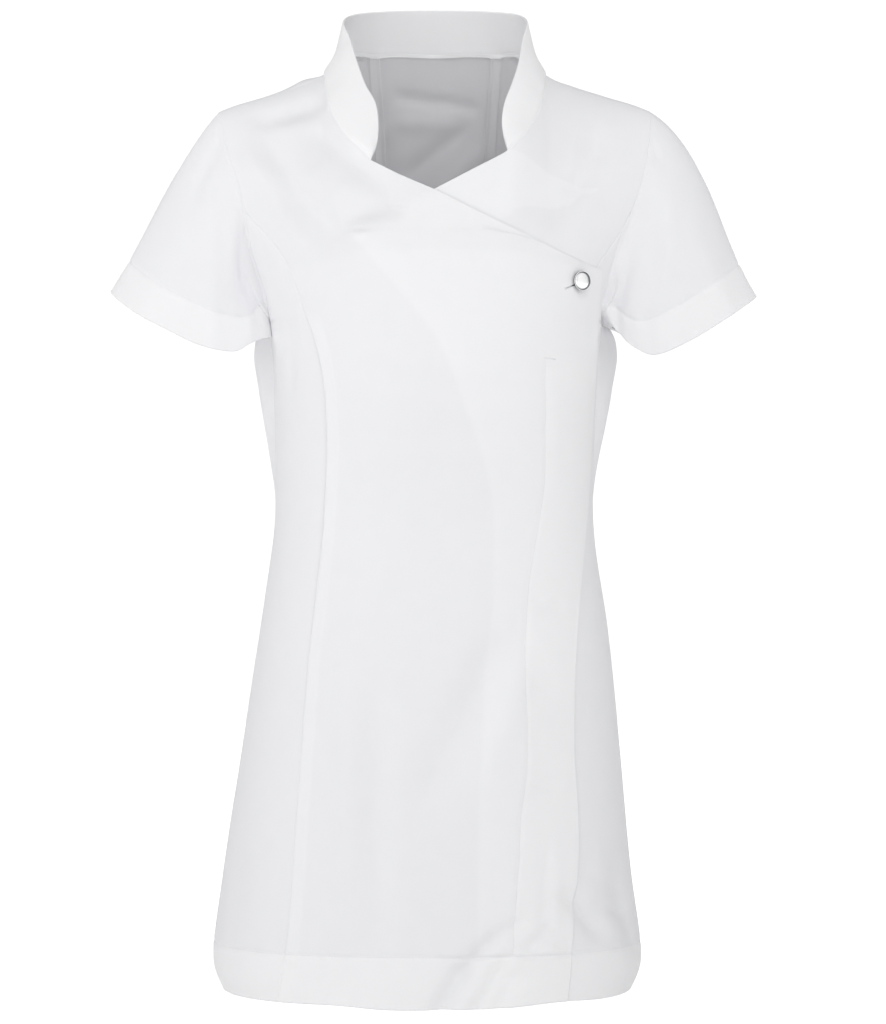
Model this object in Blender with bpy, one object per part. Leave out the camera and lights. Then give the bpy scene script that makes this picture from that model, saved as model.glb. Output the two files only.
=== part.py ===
"""A short-sleeved wrap-front work tunic with a stand collar, worn open and hollow as on a figure.

Metres, +Z up. The front faces -Y and +X is the wearer's left. The origin is on the centre line at the
height where the shoulder seams meet the collar, which is where the wearer's shoulders hold the tunic.

The body is one smooth skin, described by two coordinates: an angle round the figure (0 at the centre
front, 90 at the wearer's left side seam, 180 at the centre back) and a level (the height, bent above
the armpit so that level 0 is the shoulder seam). Every seam is a short table of places on the front or
back view, and every panel is the part of the skin between two seams, given the cloth's thickness.
"""

from collections import namedtuple

import bmesh
import bpy
import numpy as np
from mathutils import Vector

# ---------------------------------------------------------------- driving sizes
CLOTH = 0.0012  # wall of one panel
HEM_CLOTH = 0.0020  # wall where a hem is turned up inside
COLLAR_CLOTH = 0.0022  # two layers and the interfacing between them
SEAM_GAP = 0.0003  # between two pieces at a seam
WRAP_LIFT = 0.0034  # the wrap front's outer face above the front that it covers
WRAP_EDGE_DROP = 0.0010  # how much closer it lies along its free edge
WRAP_EDGE_START = 0.09  # where it starts to lie closer, and over what width
WRAP_EDGE_WIDTH = 0.04
WRAP_SEAM_START = -0.125  # where it starts to rise from its own side seam, and over what width
WRAP_SEAM_WIDTH = 0.045
WRAP_SHOULDER_FADE = 0.07  # below the shoulder seam
UNDER_DROP = 0.0016  # how much further in the covered front hangs
UNDER_DROP_END = 0.05  # where it starts to rise to its own side seam, and over what width
UNDER_DROP_WIDTH = 0.04
UNDER_DROP_LEVEL = -0.20  # where it starts to hang further in, and over what height
UNDER_DROP_FADE = 0.10
HEM_LEVEL = -0.832
HEM_TOP = -0.787  # the line that holds the turned-up hem
ARMPIT_LEVEL = -0.226
YOKE_LEVEL = -0.24  # above it the levels start to bend towards the shoulder seam
SHOULDER_ROUND = 0.16  # depth below the shoulder over which front and back part from each other
FRONT_SQUARE = 2.3  # exponents of the section's front and back halves; 2 is an ellipse
BACK_SQUARE = 2.2
NECK_SIDE = 0.1015  # half the neck's width, where collar and shoulder seam meet
SHOULDER_TIP = 0.1965
SHARP_DEGREES = 50.0  # edges sharper than this are shaded as edges

# ---------------------------------------------------------------- the figure
Section = namedtuple("Section", "level half_width centre_x front back")
BODY = [
    Section(-0.832, 0.1925, -0.0070, 0.150, 0.135),
    Section(-0.795, 0.1940, -0.0070, 0.149, 0.134),
    Section(-0.722, 0.1850, -0.0070, 0.145, 0.131),
    Section(-0.613, 0.1718, -0.0038, 0.138, 0.126),
    Section(-0.504, 0.1580, -0.0010, 0.126, 0.110),
    Section(-0.404, 0.1445, -0.0010, 0.118, 0.092),
    Section(-0.340, 0.1448, -0.0005, 0.127, 0.096),
    Section(-0.300, 0.1458, 0.0000, 0.134, 0.101),
    Section(-0.250, 0.1485, 0.0005, 0.137, 0.107),
    Section(-0.226, 0.1515, 0.0005, 0.134, 0.110),
    Section(-0.180, 0.1640, 0.0005, 0.122, 0.114),
    Section(-0.120, 0.1900, 0.0005, 0.100, 0.116),
    Section(-0.060, 0.2120, 0.0005, 0.080, 0.110),
    Section(0.000, 0.2250, 0.0005, 0.062, 0.100),
]

ShoulderLine = namedtuple("ShoulderLine", "x height back_start")
SHOULDER = [
    ShoulderLine(0.0000, 0.0335, 0.066),
    ShoulderLine(0.0500, 0.0335, 0.060),
    ShoulderLine(0.0743, 0.0290, 0.046),
    ShoulderLine(0.0880, 0.0150, 0.022),
    ShoulderLine(0.1015, 0.0000, 0.000),
    ShoulderLine(0.1110, -0.0055, 0.000),
    ShoulderLine(0.1250, -0.0108, 0.000),
    ShoulderLine(0.1550, -0.0200, 0.000),
    ShoulderLine(0.1850, -0.0290, 0.000),
    ShoulderLine(0.1965, -0.0335, 0.000),
    ShoulderLine(0.2300, -0.0480, 0.000),
]
NECK_BACK_LEVEL = -0.008  # the back neckline between the two back seams

# The back of the side seam stands out below the armpit, behind the smoother front.
SideTuck = namedtuple("SideTuck", "level out")
SIDE_TUCK = [
    SideTuck(-0.400, 0.000),
    SideTuck(-0.360, 0.003),
    SideTuck(-0.322, 0.010),
    SideTuck(-0.286, 0.016),
    SideTuck(-0.250, 0.018),
    SideTuck(-0.240, 0.012),
    SideTuck(-0.231, 0.003),
    SideTuck(-0.226, 0.000),
    SideTuck(-0.200, 0.000),
]
SIDE_TUCK_DEGREES = 40.0
SIDE_TUCK_RISE = 0.58

# The back shoulder rolls forward over the seam, more on the wearer's right.
ShoulderRoll = namedtuple("ShoulderRoll", "x right left")
SHOULDER_ROLL = [
    ShoulderRoll(0.097, 0.000, 0.000),
    ShoulderRoll(0.117, 0.008, 0.003),
    ShoulderRoll(0.140, 0.004, 0.003),
    ShoulderRoll(0.196, 0.001, 0.001),
]
SHOULDER_ROLL_REACH = 0.035

# ---------------------------------------------------------------- seams, as heights and distances
SeamPoint = namedtuple("SeamPoint", "height x")
ARMHOLE_FRONT_RIGHT = [
    SeamPoint(-0.2250, -0.1503),
    SeamPoint(-0.2200, -0.1497),
    SeamPoint(-0.2096, -0.1510),
    SeamPoint(-0.1635, -0.1643),
    SeamPoint(-0.1184, -0.1727),
    SeamPoint(-0.0587, -0.1905),
    SeamPoint(-0.0335, -SHOULDER_TIP),
]
ARMHOLE_FRONT_LEFT = [
    SeamPoint(-0.2250, 0.1513),
    SeamPoint(-0.2200, 0.1505),
    SeamPoint(-0.1969, 0.1541),
    SeamPoint(-0.1500, 0.1668),
    SeamPoint(-0.1168, 0.1810),
    SeamPoint(-0.0620, 0.1940),
    SeamPoint(-0.0335, SHOULDER_TIP),
]
ARMHOLE_BACK = [
    SeamPoint(-0.2250, 0.1505),
    SeamPoint(-0.2200, 0.1515),
    SeamPoint(-0.1900, 0.1590),
    SeamPoint(-0.1500, 0.1690),
    SeamPoint(-0.1000, 0.1790),
    SeamPoint(-0.0600, 0.1885),
    SeamPoint(-0.0335, SHOULDER_TIP),
]
PRINCESS_RIGHT = [
    SeamPoint(-0.8320, -0.1385),
    SeamPoint(-0.7794, -0.1306),
    SeamPoint(-0.6489, -0.1204),
    SeamPoint(-0.5268, -0.1111),
    SeamPoint(-0.4040, -0.0974),
    SeamPoint(-0.3164, -0.0944),
    SeamPoint(-0.2900, -0.0961),
    SeamPoint(-0.2460, -0.1051),
    SeamPoint(-0.2173, -0.1160),
    SeamPoint(-0.1919, -0.1253),
    SeamPoint(-0.1661, -0.1375),
    SeamPoint(-0.1284, -0.1705),
]
PRINCESS_LEFT = [
    SeamPoint(-0.8320, 0.1060),
    SeamPoint(-0.6489, 0.1090),
    SeamPoint(-0.5268, 0.1060),
    SeamPoint(-0.4040, 0.0985),
    SeamPoint(-0.3164, 0.1000),
    SeamPoint(-0.2460, 0.1120),
    SeamPoint(-0.2173, 0.1230),
    SeamPoint(-0.1811, 0.1430),
    SeamPoint(-0.1500, 0.1640),
    SeamPoint(-0.1195, 0.1802),
]
WRAP_EDGE = [
    SeamPoint(-0.8320, 0.1160),
    SeamPoint(-0.7741, 0.1201),
    SeamPoint(-0.7304, 0.1237),
    SeamPoint(-0.6955, 0.1256),
    SeamPoint(-0.6513, 0.1247),
    SeamPoint(-0.6161, 0.1222),
    SeamPoint(-0.5635, 0.1224),
    SeamPoint(-0.4754, 0.1276),
    SeamPoint(-0.4221, 0.1327),
    SeamPoint(-0.3683, 0.1373),
    SeamPoint(-0.3144, 0.1400),
    SeamPoint(-0.2606, 0.1435),
    SeamPoint(-0.2068, 0.1460),
    SeamPoint(-0.1811, 0.1478),
]
WRAP_NECKLINE = [
    SeamPoint(-0.1811, 0.1478),
    SeamPoint(-0.1714, 0.1201),
    SeamPoint(-0.1548, 0.0842),
    SeamPoint(-0.1333, 0.0399),
    SeamPoint(-0.1133, 0.0003),
    SeamPoint(-0.1011, -0.0270),
    SeamPoint(-0.0852, -0.0571),
]
UNDER_EDGE = [
    SeamPoint(-0.8320, 0.0380),
    SeamPoint(-0.6235, 0.0398),
    SeamPoint(-0.5620, 0.0433),
    SeamPoint(-0.4390, 0.0520),
    SeamPoint(-0.3777, 0.0486),
    SeamPoint(-0.3426, 0.0398),
    SeamPoint(-0.2987, 0.0240),
    SeamPoint(-0.2504, 0.0047),
    SeamPoint(-0.2135, -0.0217),
    SeamPoint(-0.1827, -0.0480),
    SeamPoint(-0.1510, -0.0743),
]
UNDER_NECKLINE = [
    SeamPoint(-0.1510, -0.0743),
    SeamPoint(-0.1115, 0.0003),
    SeamPoint(-0.0770, 0.0645),
]
NECKLINE = [  # both sides, as half widths
    SeamPoint(-0.0852, 0.0571),
    SeamPoint(-0.0770, 0.0645),
    SeamPoint(-0.0610, 0.0800),
    SeamPoint(-0.0458, 0.0892),
    SeamPoint(-0.0300, 0.0958),
    SeamPoint(-0.0167, 0.0990),
    SeamPoint(0.0000, NECK_SIDE),
]
BACK_SEAM = [  # both sides, as half widths
    SeamPoint(-0.8320, 0.1150),
    SeamPoint(-0.6200, 0.0980),
    SeamPoint(-0.4040, 0.0660),
    SeamPoint(-0.2500, 0.0660),
    SeamPoint(-0.1000, 0.0560),
    SeamPoint(0.0250, 0.0620),
]

# The back neckline beyond the back seams, as levels and half widths, up to the shoulder seam.
NeckPoint = namedtuple("NeckPoint", "level x")
BACK_NECKLINE = [
    NeckPoint(NECK_BACK_LEVEL, 0.0615),
    NeckPoint(-0.0058, 0.0705),
    NeckPoint(-0.0035, 0.0790),
    NeckPoint(-0.0020, 0.0868),
    NeckPoint(-0.0010, 0.0925),
    NeckPoint(-0.0003, 0.0975),
    NeckPoint(0.0000, NECK_SIDE),
]

# ---------------------------------------------------------------- rows that the panels share
# Each corner of a panel lies on one of these levels, so that neighbours meet point for point.
WRAP_CORNER = -0.1763
UNDER_CORNER = -0.1606
PRINCESS_TOP = -0.1161  # the top edge of both front side panels, on the armhole
PRINCESS_END = -0.1155  # just above it, the first row where the centre panels reach the armhole
COLLAR_END_RIGHT = -0.1042
COLLAR_END_LEFT = -0.0964
LOWER_ROWS = (
    [HEM_LEVEL, -0.810, HEM_TOP, -0.783, -0.745, -0.70, -0.655, -0.61, -0.565, -0.52, -0.48, -0.44]
    + [-0.405, -0.37, -0.34, -0.315, -0.29, -0.268, -0.250, -0.2305, ARMPIT_LEVEL, -0.2235, -0.2185, -0.205]
)
FRONT_ROWS = np.array(
    LOWER_ROWS
    + [-0.19, WRAP_CORNER, -0.1725, -0.1688, -0.1650, UNDER_CORNER, -0.1530, -0.145, -0.130]
    + [PRINCESS_TOP, PRINCESS_END, COLLAR_END_RIGHT, COLLAR_END_LEFT, -0.080, -0.064, -0.049]
    + [-0.036, -0.025, -0.014, -0.0045, 0.0]
)
BACK_ROWS = np.array(
    LOWER_ROWS
    + [-0.187, -0.168, -0.148, -0.128, -0.108, -0.088, -0.068, -0.049, -0.034, -0.022, -0.014]
    + [NECK_BACK_LEVEL, -0.0058, -0.0035, -0.0020, -0.0010, -0.0003, 0.0]
)
FRONT_SIDE_COLUMNS = 8
WRAP_COLUMNS = 19
UNDER_COLUMNS = 12
BACK_SIDE_COLUMNS = 10
BACK_COLUMNS = 13
SEAM_ROUNDS = 60  # steps towards the place where a seam crosses a level
SEAM_STEP = 0.35

# ---------------------------------------------------------------- folds
# A fold is a soft ridge (out > 0) or trough (out < 0) along a line on the skin.
Fold = namedtuple("Fold", "angle_from level_from angle_to level_to width out")
FOLDS = [
    Fold(-50, -0.075, -24, -0.215, 0.016, -0.0035),  # from the wearer's right shoulder, across the chest
    Fold(-40, -0.070, -15, -0.190, 0.017, 0.0035),
    Fold(-34, -0.150, -6, -0.135, 0.014, -0.0040),  # under the wrap neckline
    Fold(46, -0.070, 22, -0.160, 0.015, -0.0030),  # from the wearer's left shoulder
    Fold(-24, -0.870, -21, -0.640, 0.020, -0.0050),  # up from the hem
    Fold(2, -0.850, 20, -0.765, 0.011, -0.0055),  # two slanting folds in the front hem
    Fold(15, -0.850, 25, -0.790, 0.009, -0.0045),
    Fold(4, -0.600, 36, -0.490, 0.022, -0.0040),  # pull from the waist towards the wrap edge
    Fold(20, -0.690, 28, -0.540, 0.024, 0.0045),
    Fold(60, -0.700, 78, -0.800, 0.020, -0.0050),
    Fold(150, -0.330, 120, -0.450, 0.022, -0.0040),  # back of the waist
    Fold(-150, -0.330, -120, -0.450, 0.022, -0.0040),
    Fold(176, -0.400, 180, -0.300, 0.030, -0.0035),
    Fold(148, -0.860, 152, -0.600, 0.026, -0.0050),
    Fold(-156, -0.860, -150, -0.640, 0.024, -0.0050),
    Fold(-178, -0.860, -176, -0.560, 0.030, 0.0050),
    Fold(-140, -0.090, -165, -0.190, 0.018, -0.0030),
    Fold(140, -0.090, 165, -0.190, 0.018, -0.0030),
]
FOLD_FADE = 0.3  # share of a fold's length over which each end dies away
METRES_PER_DEGREE = 0.15 * np.pi / 180

# ---------------------------------------------------------------- sleeves
HemPoint = namedtuple("HemPoint", "out y z")
SLEEVE_HEM_RIGHT = [  # from the outer tip, round the front to the body, and back round behind
    HemPoint(0.2945, 0.000, -0.1975),
    HemPoint(0.2703, -0.030, -0.2167),
    HemPoint(0.2421, -0.044, -0.2319),
    HemPoint(0.2103, -0.050, -0.2470),
    HemPoint(0.1800, -0.050, -0.2527),
    HemPoint(0.1632, -0.046, -0.2450),
    HemPoint(0.1535, -0.036, -0.2390),
    HemPoint(0.1625, -0.004, -0.2420),
    HemPoint(0.1815, 0.024, -0.2450),
    HemPoint(0.1960, 0.045, -0.2360),
    HemPoint(0.2260, 0.052, -0.2220),
    HemPoint(0.2600, 0.042, -0.2060),
    HemPoint(0.2850, 0.022, -0.1985),
]
SLEEVE_HEM_LEFT = [
    HemPoint(0.2918, 0.000, -0.2010),
    HemPoint(0.2736, -0.026, -0.2147),
    HemPoint(0.2566, -0.036, -0.2260),
    HemPoint(0.2289, -0.046, -0.2427),
    HemPoint(0.1993, -0.046, -0.2552),
    HemPoint(0.1803, -0.043, -0.2500),
    HemPoint(0.1590, -0.037, -0.2320),
    HemPoint(0.1635, -0.004, -0.2380),
    HemPoint(0.1835, 0.024, -0.2450),
    HemPoint(0.2000, 0.045, -0.2380),
    HemPoint(0.2300, 0.052, -0.2240),
    HemPoint(0.2620, 0.042, -0.2080),
    HemPoint(0.2830, 0.022, -0.2010),
]
INNER_HEM_POINT = 7  # the row of the two tables that faces the body
SLEEVE_DIRECTION = np.array([0.54, 0.0, -0.84])
SLEEVE_OUTWARD = np.array([0.84, 0.0, 0.54])
SLEEVE_FLARE = {"right": 0.45, "left": 0.75}  # how far the cap swells out of the armhole seam
SLEEVE_FLARE_START = 0.25
SLEEVE_CURVE_STEPS = 200  # fine steps along each half of the hem
SLEEVE_ROWS = [0.0, 0.09, 0.22, 0.40, 0.60, 0.80, 0.83, 1.0]
SLEEVE_HEM_ROW = 6  # from this row on the sleeve's hem is turned up inside

# ---------------------------------------------------------------- collar
CollarTop = namedtuple("CollarTop", "y z right left")
COLLAR_TOP = [  # from above the front ends to the centre back
    CollarTop(-0.0735, -0.0500, -0.0506, 0.0602),
    CollarTop(-0.0640, -0.0330, -0.0530, 0.0625),
    CollarTop(-0.0520, -0.0150, -0.0622, 0.0690),
    CollarTop(-0.0350, 0.0060, -0.0697, 0.0755),
    CollarTop(-0.0100, 0.0310, -0.0772, 0.0800),
    CollarTop(0.0180, 0.0515, -0.0838, 0.0842),
    CollarTop(0.0400, 0.0595, -0.0760, 0.0770),
    CollarTop(0.0600, 0.0648, -0.0510, 0.0515),
    CollarTop(0.0690, 0.0670, 0.0000, 0.0000),
]
CollarEnd = namedtuple("CollarEnd", "x y z")
COLLAR_END_TOPS = {  # the stand runs out towards both ends
    "right": [CollarEnd(-0.0540, -0.0862, -0.0790), CollarEnd(-0.0515, -0.0815, -0.0690)],
    "left": [CollarEnd(0.0630, -0.0825, -0.0710), CollarEnd(0.0613, -0.0795, -0.0628)],
}
COLLAR_STEPS = 4
COLLAR_END_GAP = 0.0008  # the ends stop this far short of the front necklines
COLLAR_BOW = 0.0020  # how far the stand bows outwards between its seam and its edge

BUTTON_X = 0.1280
BUTTON_HEIGHT = -0.1935
BUTTON_FACING = 0.35  # share of the way from square to the cloth to square to the front
WHITE_CLOTH = (0.90, 0.90, 0.92, 1.0)
SILVER = (0.80, 0.80, 0.82, 1.0)


# ================================================================ curves
def through(knots, values):
    """A smooth function through a table's rows: cubic pieces that share the slope at each row."""
    knots, values = np.asarray(knots, float), np.asarray(values, float)
    slopes = np.gradient(values, knots)

    def at(place):
        place = np.clip(place, knots[0], knots[-1])
        i = np.clip(np.searchsorted(knots, place) - 1, 0, len(knots) - 2)
        width = knots[i + 1] - knots[i]
        t = (place - knots[i]) / width
        start = (1 + 2 * t) * (1 - t) ** 2 * values[i] + t * (1 - t) ** 2 * width * slopes[i]
        end = t**2 * (3 - 2 * t) * values[i + 1] - t**2 * (1 - t) * width * slopes[i + 1]
        return start + end

    return at


def column(table, name, key):
    """The named column of a table as a smooth function of its key column."""
    return through([getattr(row, key) for row in table], [getattr(row, name) for row in table])


def smooth_step(t):
    t = np.clip(t, 0.0, 1.0)
    return t * t * (3 - 2 * t)


def unit(vectors):
    return vectors / np.maximum(np.linalg.norm(vectors, axis=-1, keepdims=True), 1e-12)


half_width = column(BODY, "half_width", "level")
centre_x = column(BODY, "centre_x", "level")
front_depth = column(BODY, "front", "level")
back_depth = column(BODY, "back", "level")
shoulder_height = column(SHOULDER, "height", "x")
back_start = column(SHOULDER, "back_start", "x")
side_tuck = column(SIDE_TUCK, "out", "level")
roll_right = column(SHOULDER_ROLL, "right", "x")
roll_left = column(SHOULDER_ROLL, "left", "x")


# ================================================================ the skin
def height_of(level, x):
    """The height of a level at a distance from the centre line."""
    bend = np.clip((level - YOKE_LEVEL) / -YOKE_LEVEL, 0.0, None)
    return level + bend * shoulder_height(np.abs(x))


def rounding(share):
    """A quarter circle from the shoulder line (0) down to the full depth of front or back (1)."""
    return np.sqrt(1 - (1 - np.clip(share, 0.0, 1.0)) ** 2)


def base_skin(angle, level):
    """The figure without folds."""
    angle, level = np.broadcast_arrays(np.asarray(angle, float), np.asarray(level, float))
    sine = np.sin(np.radians(angle))
    x = centre_x(level) + half_width(level) * sine
    z = height_of(level, x)
    below = (shoulder_height(np.abs(x)) - z) / SHOULDER_ROUND
    roll = np.where(x < 0, roll_right(np.abs(x)), roll_left(np.abs(x)))
    edge = np.clip(np.abs(sine), 0.0, 1.0)
    rolled = rounding(roll / SHOULDER_ROUND)
    front_spread = (rounding(below + roll / SHOULDER_ROUND) - rolled) / (1 - rolled)
    front_y = -front_depth(level) * (1 - edge**FRONT_SQUARE) ** (1 / FRONT_SQUARE) * front_spread
    start = back_start(np.abs(x))
    full = back_depth(level) * (1 - edge**BACK_SQUARE) ** (1 / BACK_SQUARE)
    back_y = start + (full - start) * rounding(below)
    is_back = np.abs(angle) > 90
    over = np.sin(np.pi * np.clip((back_y - start) / SHOULDER_ROLL_REACH, 0.0, 1.0))
    z = z + np.where(is_back, roll * over, 0.0)
    return np.stack([x, np.where(is_back, back_y, front_y), z], axis=-1)


def skin_normal(angle, level):
    """The outward direction, from small steps either way."""
    turn, climb = 0.4, 0.0015
    upper = np.minimum(level + climb, -1e-5)
    across = base_skin(angle + turn, level) - base_skin(angle - turn, level)
    upwards = base_skin(angle, upper) - base_skin(angle, level - climb)
    return unit(np.cross(across, upwards))


def fold_depth(angle, level):
    """How far the folds and the tuck behind the side seam move the cloth along its normal."""
    past_side = np.clip((np.abs(angle) - 90) / SIDE_TUCK_DEGREES, 0.0, 1.0)
    total = side_tuck(level) * np.sin(np.pi * past_side**SIDE_TUCK_RISE) ** 2
    for fold in FOLDS:
        run_x = (fold.angle_to - fold.angle_from) * METRES_PER_DEGREE
        run_z = fold.level_to - fold.level_from
        length = np.hypot(run_x, run_z)
        dx = ((angle - fold.angle_from + 180) % 360 - 180) * METRES_PER_DEGREE
        dz = level - fold.level_from
        along = (dx * run_x + dz * run_z) / length**2
        off = (dx * run_z - dz * run_x) / length
        ends = smooth_step(along / FOLD_FADE) * smooth_step((1 - along) / FOLD_FADE)
        total = total + fold.out * ends * np.exp(-((off / fold.width) ** 2))
    return total


def skin(angle, level, lift=0.0):
    """Points on the outer face of the cloth, and the directions that point out of it."""
    angle, level = np.broadcast_arrays(np.asarray(angle, float), np.asarray(level, float))
    normal = skin_normal(angle, level)
    out = fold_depth(angle, level) + lift
    return base_skin(angle, level) + normal * out[..., None], normal


# ================================================================ seams on the skin
def seam_angles(table, levels, back=False):
    """The angles at which a seam, given by heights and distances, crosses the levels."""
    rows = sorted(table, key=lambda point: point.height)
    distance = through([p.height for p in rows], [p.x for p in rows])
    x = distance(levels)
    for _ in range(SEAM_ROUNDS):
        x = x + SEAM_STEP * (distance(height_of(levels, x)) - x)
    angle = np.degrees(np.arcsin(np.clip((x - centre_x(levels)) / half_width(levels), -1.0, 1.0)))
    return np.where(angle < 0, -180.0, 180.0) - angle if back else angle


def mirrored(table):
    return [SeamPoint(p.height, -p.x) for p in table]


def rows_between(low, high, rows=FRONT_ROWS):
    return rows[(rows > low - 1e-6) & (rows < high + 1e-6)]


def side_limit(levels, armhole, sign, back=False):
    """The side seam up to the armpit, then the armhole."""
    above = seam_angles(armhole, levels, back)
    return np.where(levels <= ARMPIT_LEVEL + 1e-6, sign * 90.0, above)


def piecewise(levels, *parts):
    """Angles from several seams in turn: each part is (its top level, a table)."""
    angles = np.full(len(levels), np.nan)
    for top, table in parts:
        here = np.isnan(angles) & (levels <= top + 1e-6)
        angles[here] = seam_angles(table, levels[here])
    return angles


def lattice(left, right, levels, columns):
    """Angles and levels of a panel's grid: a row for each level, from the left limit to the right."""
    share = np.linspace(0.0, 1.0, columns)
    angles = left[:, None] + (right - left)[:, None] * share[None, :]
    return angles, np.repeat(levels[:, None], columns, axis=1)


def wrap_lift(angle, level):
    """The wrap front stands clear of the front under it, and eases down to its own side seam."""
    x = base_skin(angle, level)[..., 0]
    lift = WRAP_LIFT - WRAP_EDGE_DROP * smooth_step((x - WRAP_EDGE_START) / WRAP_EDGE_WIDTH)
    beyond_seam = smooth_step((x - WRAP_SEAM_START) / WRAP_SEAM_WIDTH)
    return lift * beyond_seam * smooth_step(-level / WRAP_SHOULDER_FADE)


def under_drop(angle, level):
    """The covered front hangs a little further in, where nothing holds it against the wrap."""
    x = base_skin(angle, level)[..., 0]
    before_seam = 1 - smooth_step((x - UNDER_DROP_END) / UNDER_DROP_WIDTH)
    return -UNDER_DROP * before_seam * smooth_step((UNDER_DROP_LEVEL - level) / UNDER_DROP_FADE)


# ================================================================ solids
def material(name, colour, roughness, metallic):
    made = bpy.data.materials.new(name)
    made.use_nodes = True
    shader = made.node_tree.nodes["Principled BSDF"]
    shader.inputs["Base Color"].default_value = colour
    shader.inputs["Roughness"].default_value = roughness
    shader.inputs["Metallic"].default_value = metallic
    return made


def link(name, mesh, finish):
    mesh.materials.append(finish)
    mesh.shade_smooth()
    mesh.set_sharp_from_angle(angle=np.radians(SHARP_DEGREES))
    made = bpy.data.objects.new(name, mesh)
    bpy.context.scene.collection.objects.link(made)
    return made


def drawn_in(points, ring):
    """The grid with its borders moved in by half a seam gap; a ring has no left and right border."""
    moved = points.copy()
    borders = [(np.s_[0], np.s_[1]), (np.s_[-1], np.s_[-2])]
    if not ring:
        borders += [(np.s_[:, 0], np.s_[:, 1]), (np.s_[:, -1], np.s_[:, -2])]
    for edge, inside in borders:
        line = points[edge]
        if ring:
            along = unit(np.roll(line, -1, axis=0) - np.roll(line, 1, axis=0))
        else:
            along = unit(np.gradient(line, axis=0))
        inwards = points[inside] - line
        inwards = inwards - (inwards * along).sum(axis=1)[:, None] * along
        moved[edge] += unit(inwards) * SEAM_GAP / 2
    return moved


def close_edge(mesh, outer_a, outer_b, inner_b, inner_a):
    """One step of a panel's edge as two triangles, split the same way on both sides of a seam."""
    if (round(outer_a.co.z, 3), outer_a.co.x) > (round(outer_b.co.z, 3), outer_b.co.x):
        outer_a, outer_b, inner_b, inner_a = outer_b, outer_a, inner_a, inner_b
    mesh.faces.new([outer_a, outer_b, inner_b])
    mesh.faces.new([outer_a, inner_b, inner_a])


def wall(name, points, normals, thickness, finish, ring=False):
    """A closed solid from a grid of outer points: rows upwards, columns to the wearer's left."""
    outer = drawn_in(points, ring)
    inner = outer - normals * np.broadcast_to(thickness, points.shape[:2])[..., None]
    rows, columns = points.shape[:2]
    mesh = bmesh.new()
    sides = [[[mesh.verts.new(p) for p in row] for row in sheet] for sheet in (outer, inner)]
    spans = columns if ring else columns - 1
    for sheet, turned in zip(sides, (False, True)):
        for j in range(rows - 1):
            for i in range(spans):
                k = (i + 1) % columns
                corners = [sheet[j][i], sheet[j][k], sheet[j + 1][k], sheet[j + 1][i]]
                mesh.faces.new(corners[::-1] if turned else corners)
    front, back = sides
    for i in range(spans):
        k = (i + 1) % columns
        for j in (0, -1):
            close_edge(mesh, front[j][i], front[j][k], back[j][k], back[j][i])
    if not ring:
        for j in range(rows - 1):
            for i in (0, -1):
                close_edge(mesh, front[j][i], front[j + 1][i], back[j + 1][i], back[j][i])
    bmesh.ops.recalc_face_normals(mesh, faces=mesh.faces)
    made = bpy.data.meshes.new(name)
    mesh.to_mesh(made)
    mesh.free()
    return link(name, made, finish)


def hem_thickness(levels):
    return np.where(levels <= HEM_TOP + 1e-6, HEM_CLOTH, CLOTH)


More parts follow.
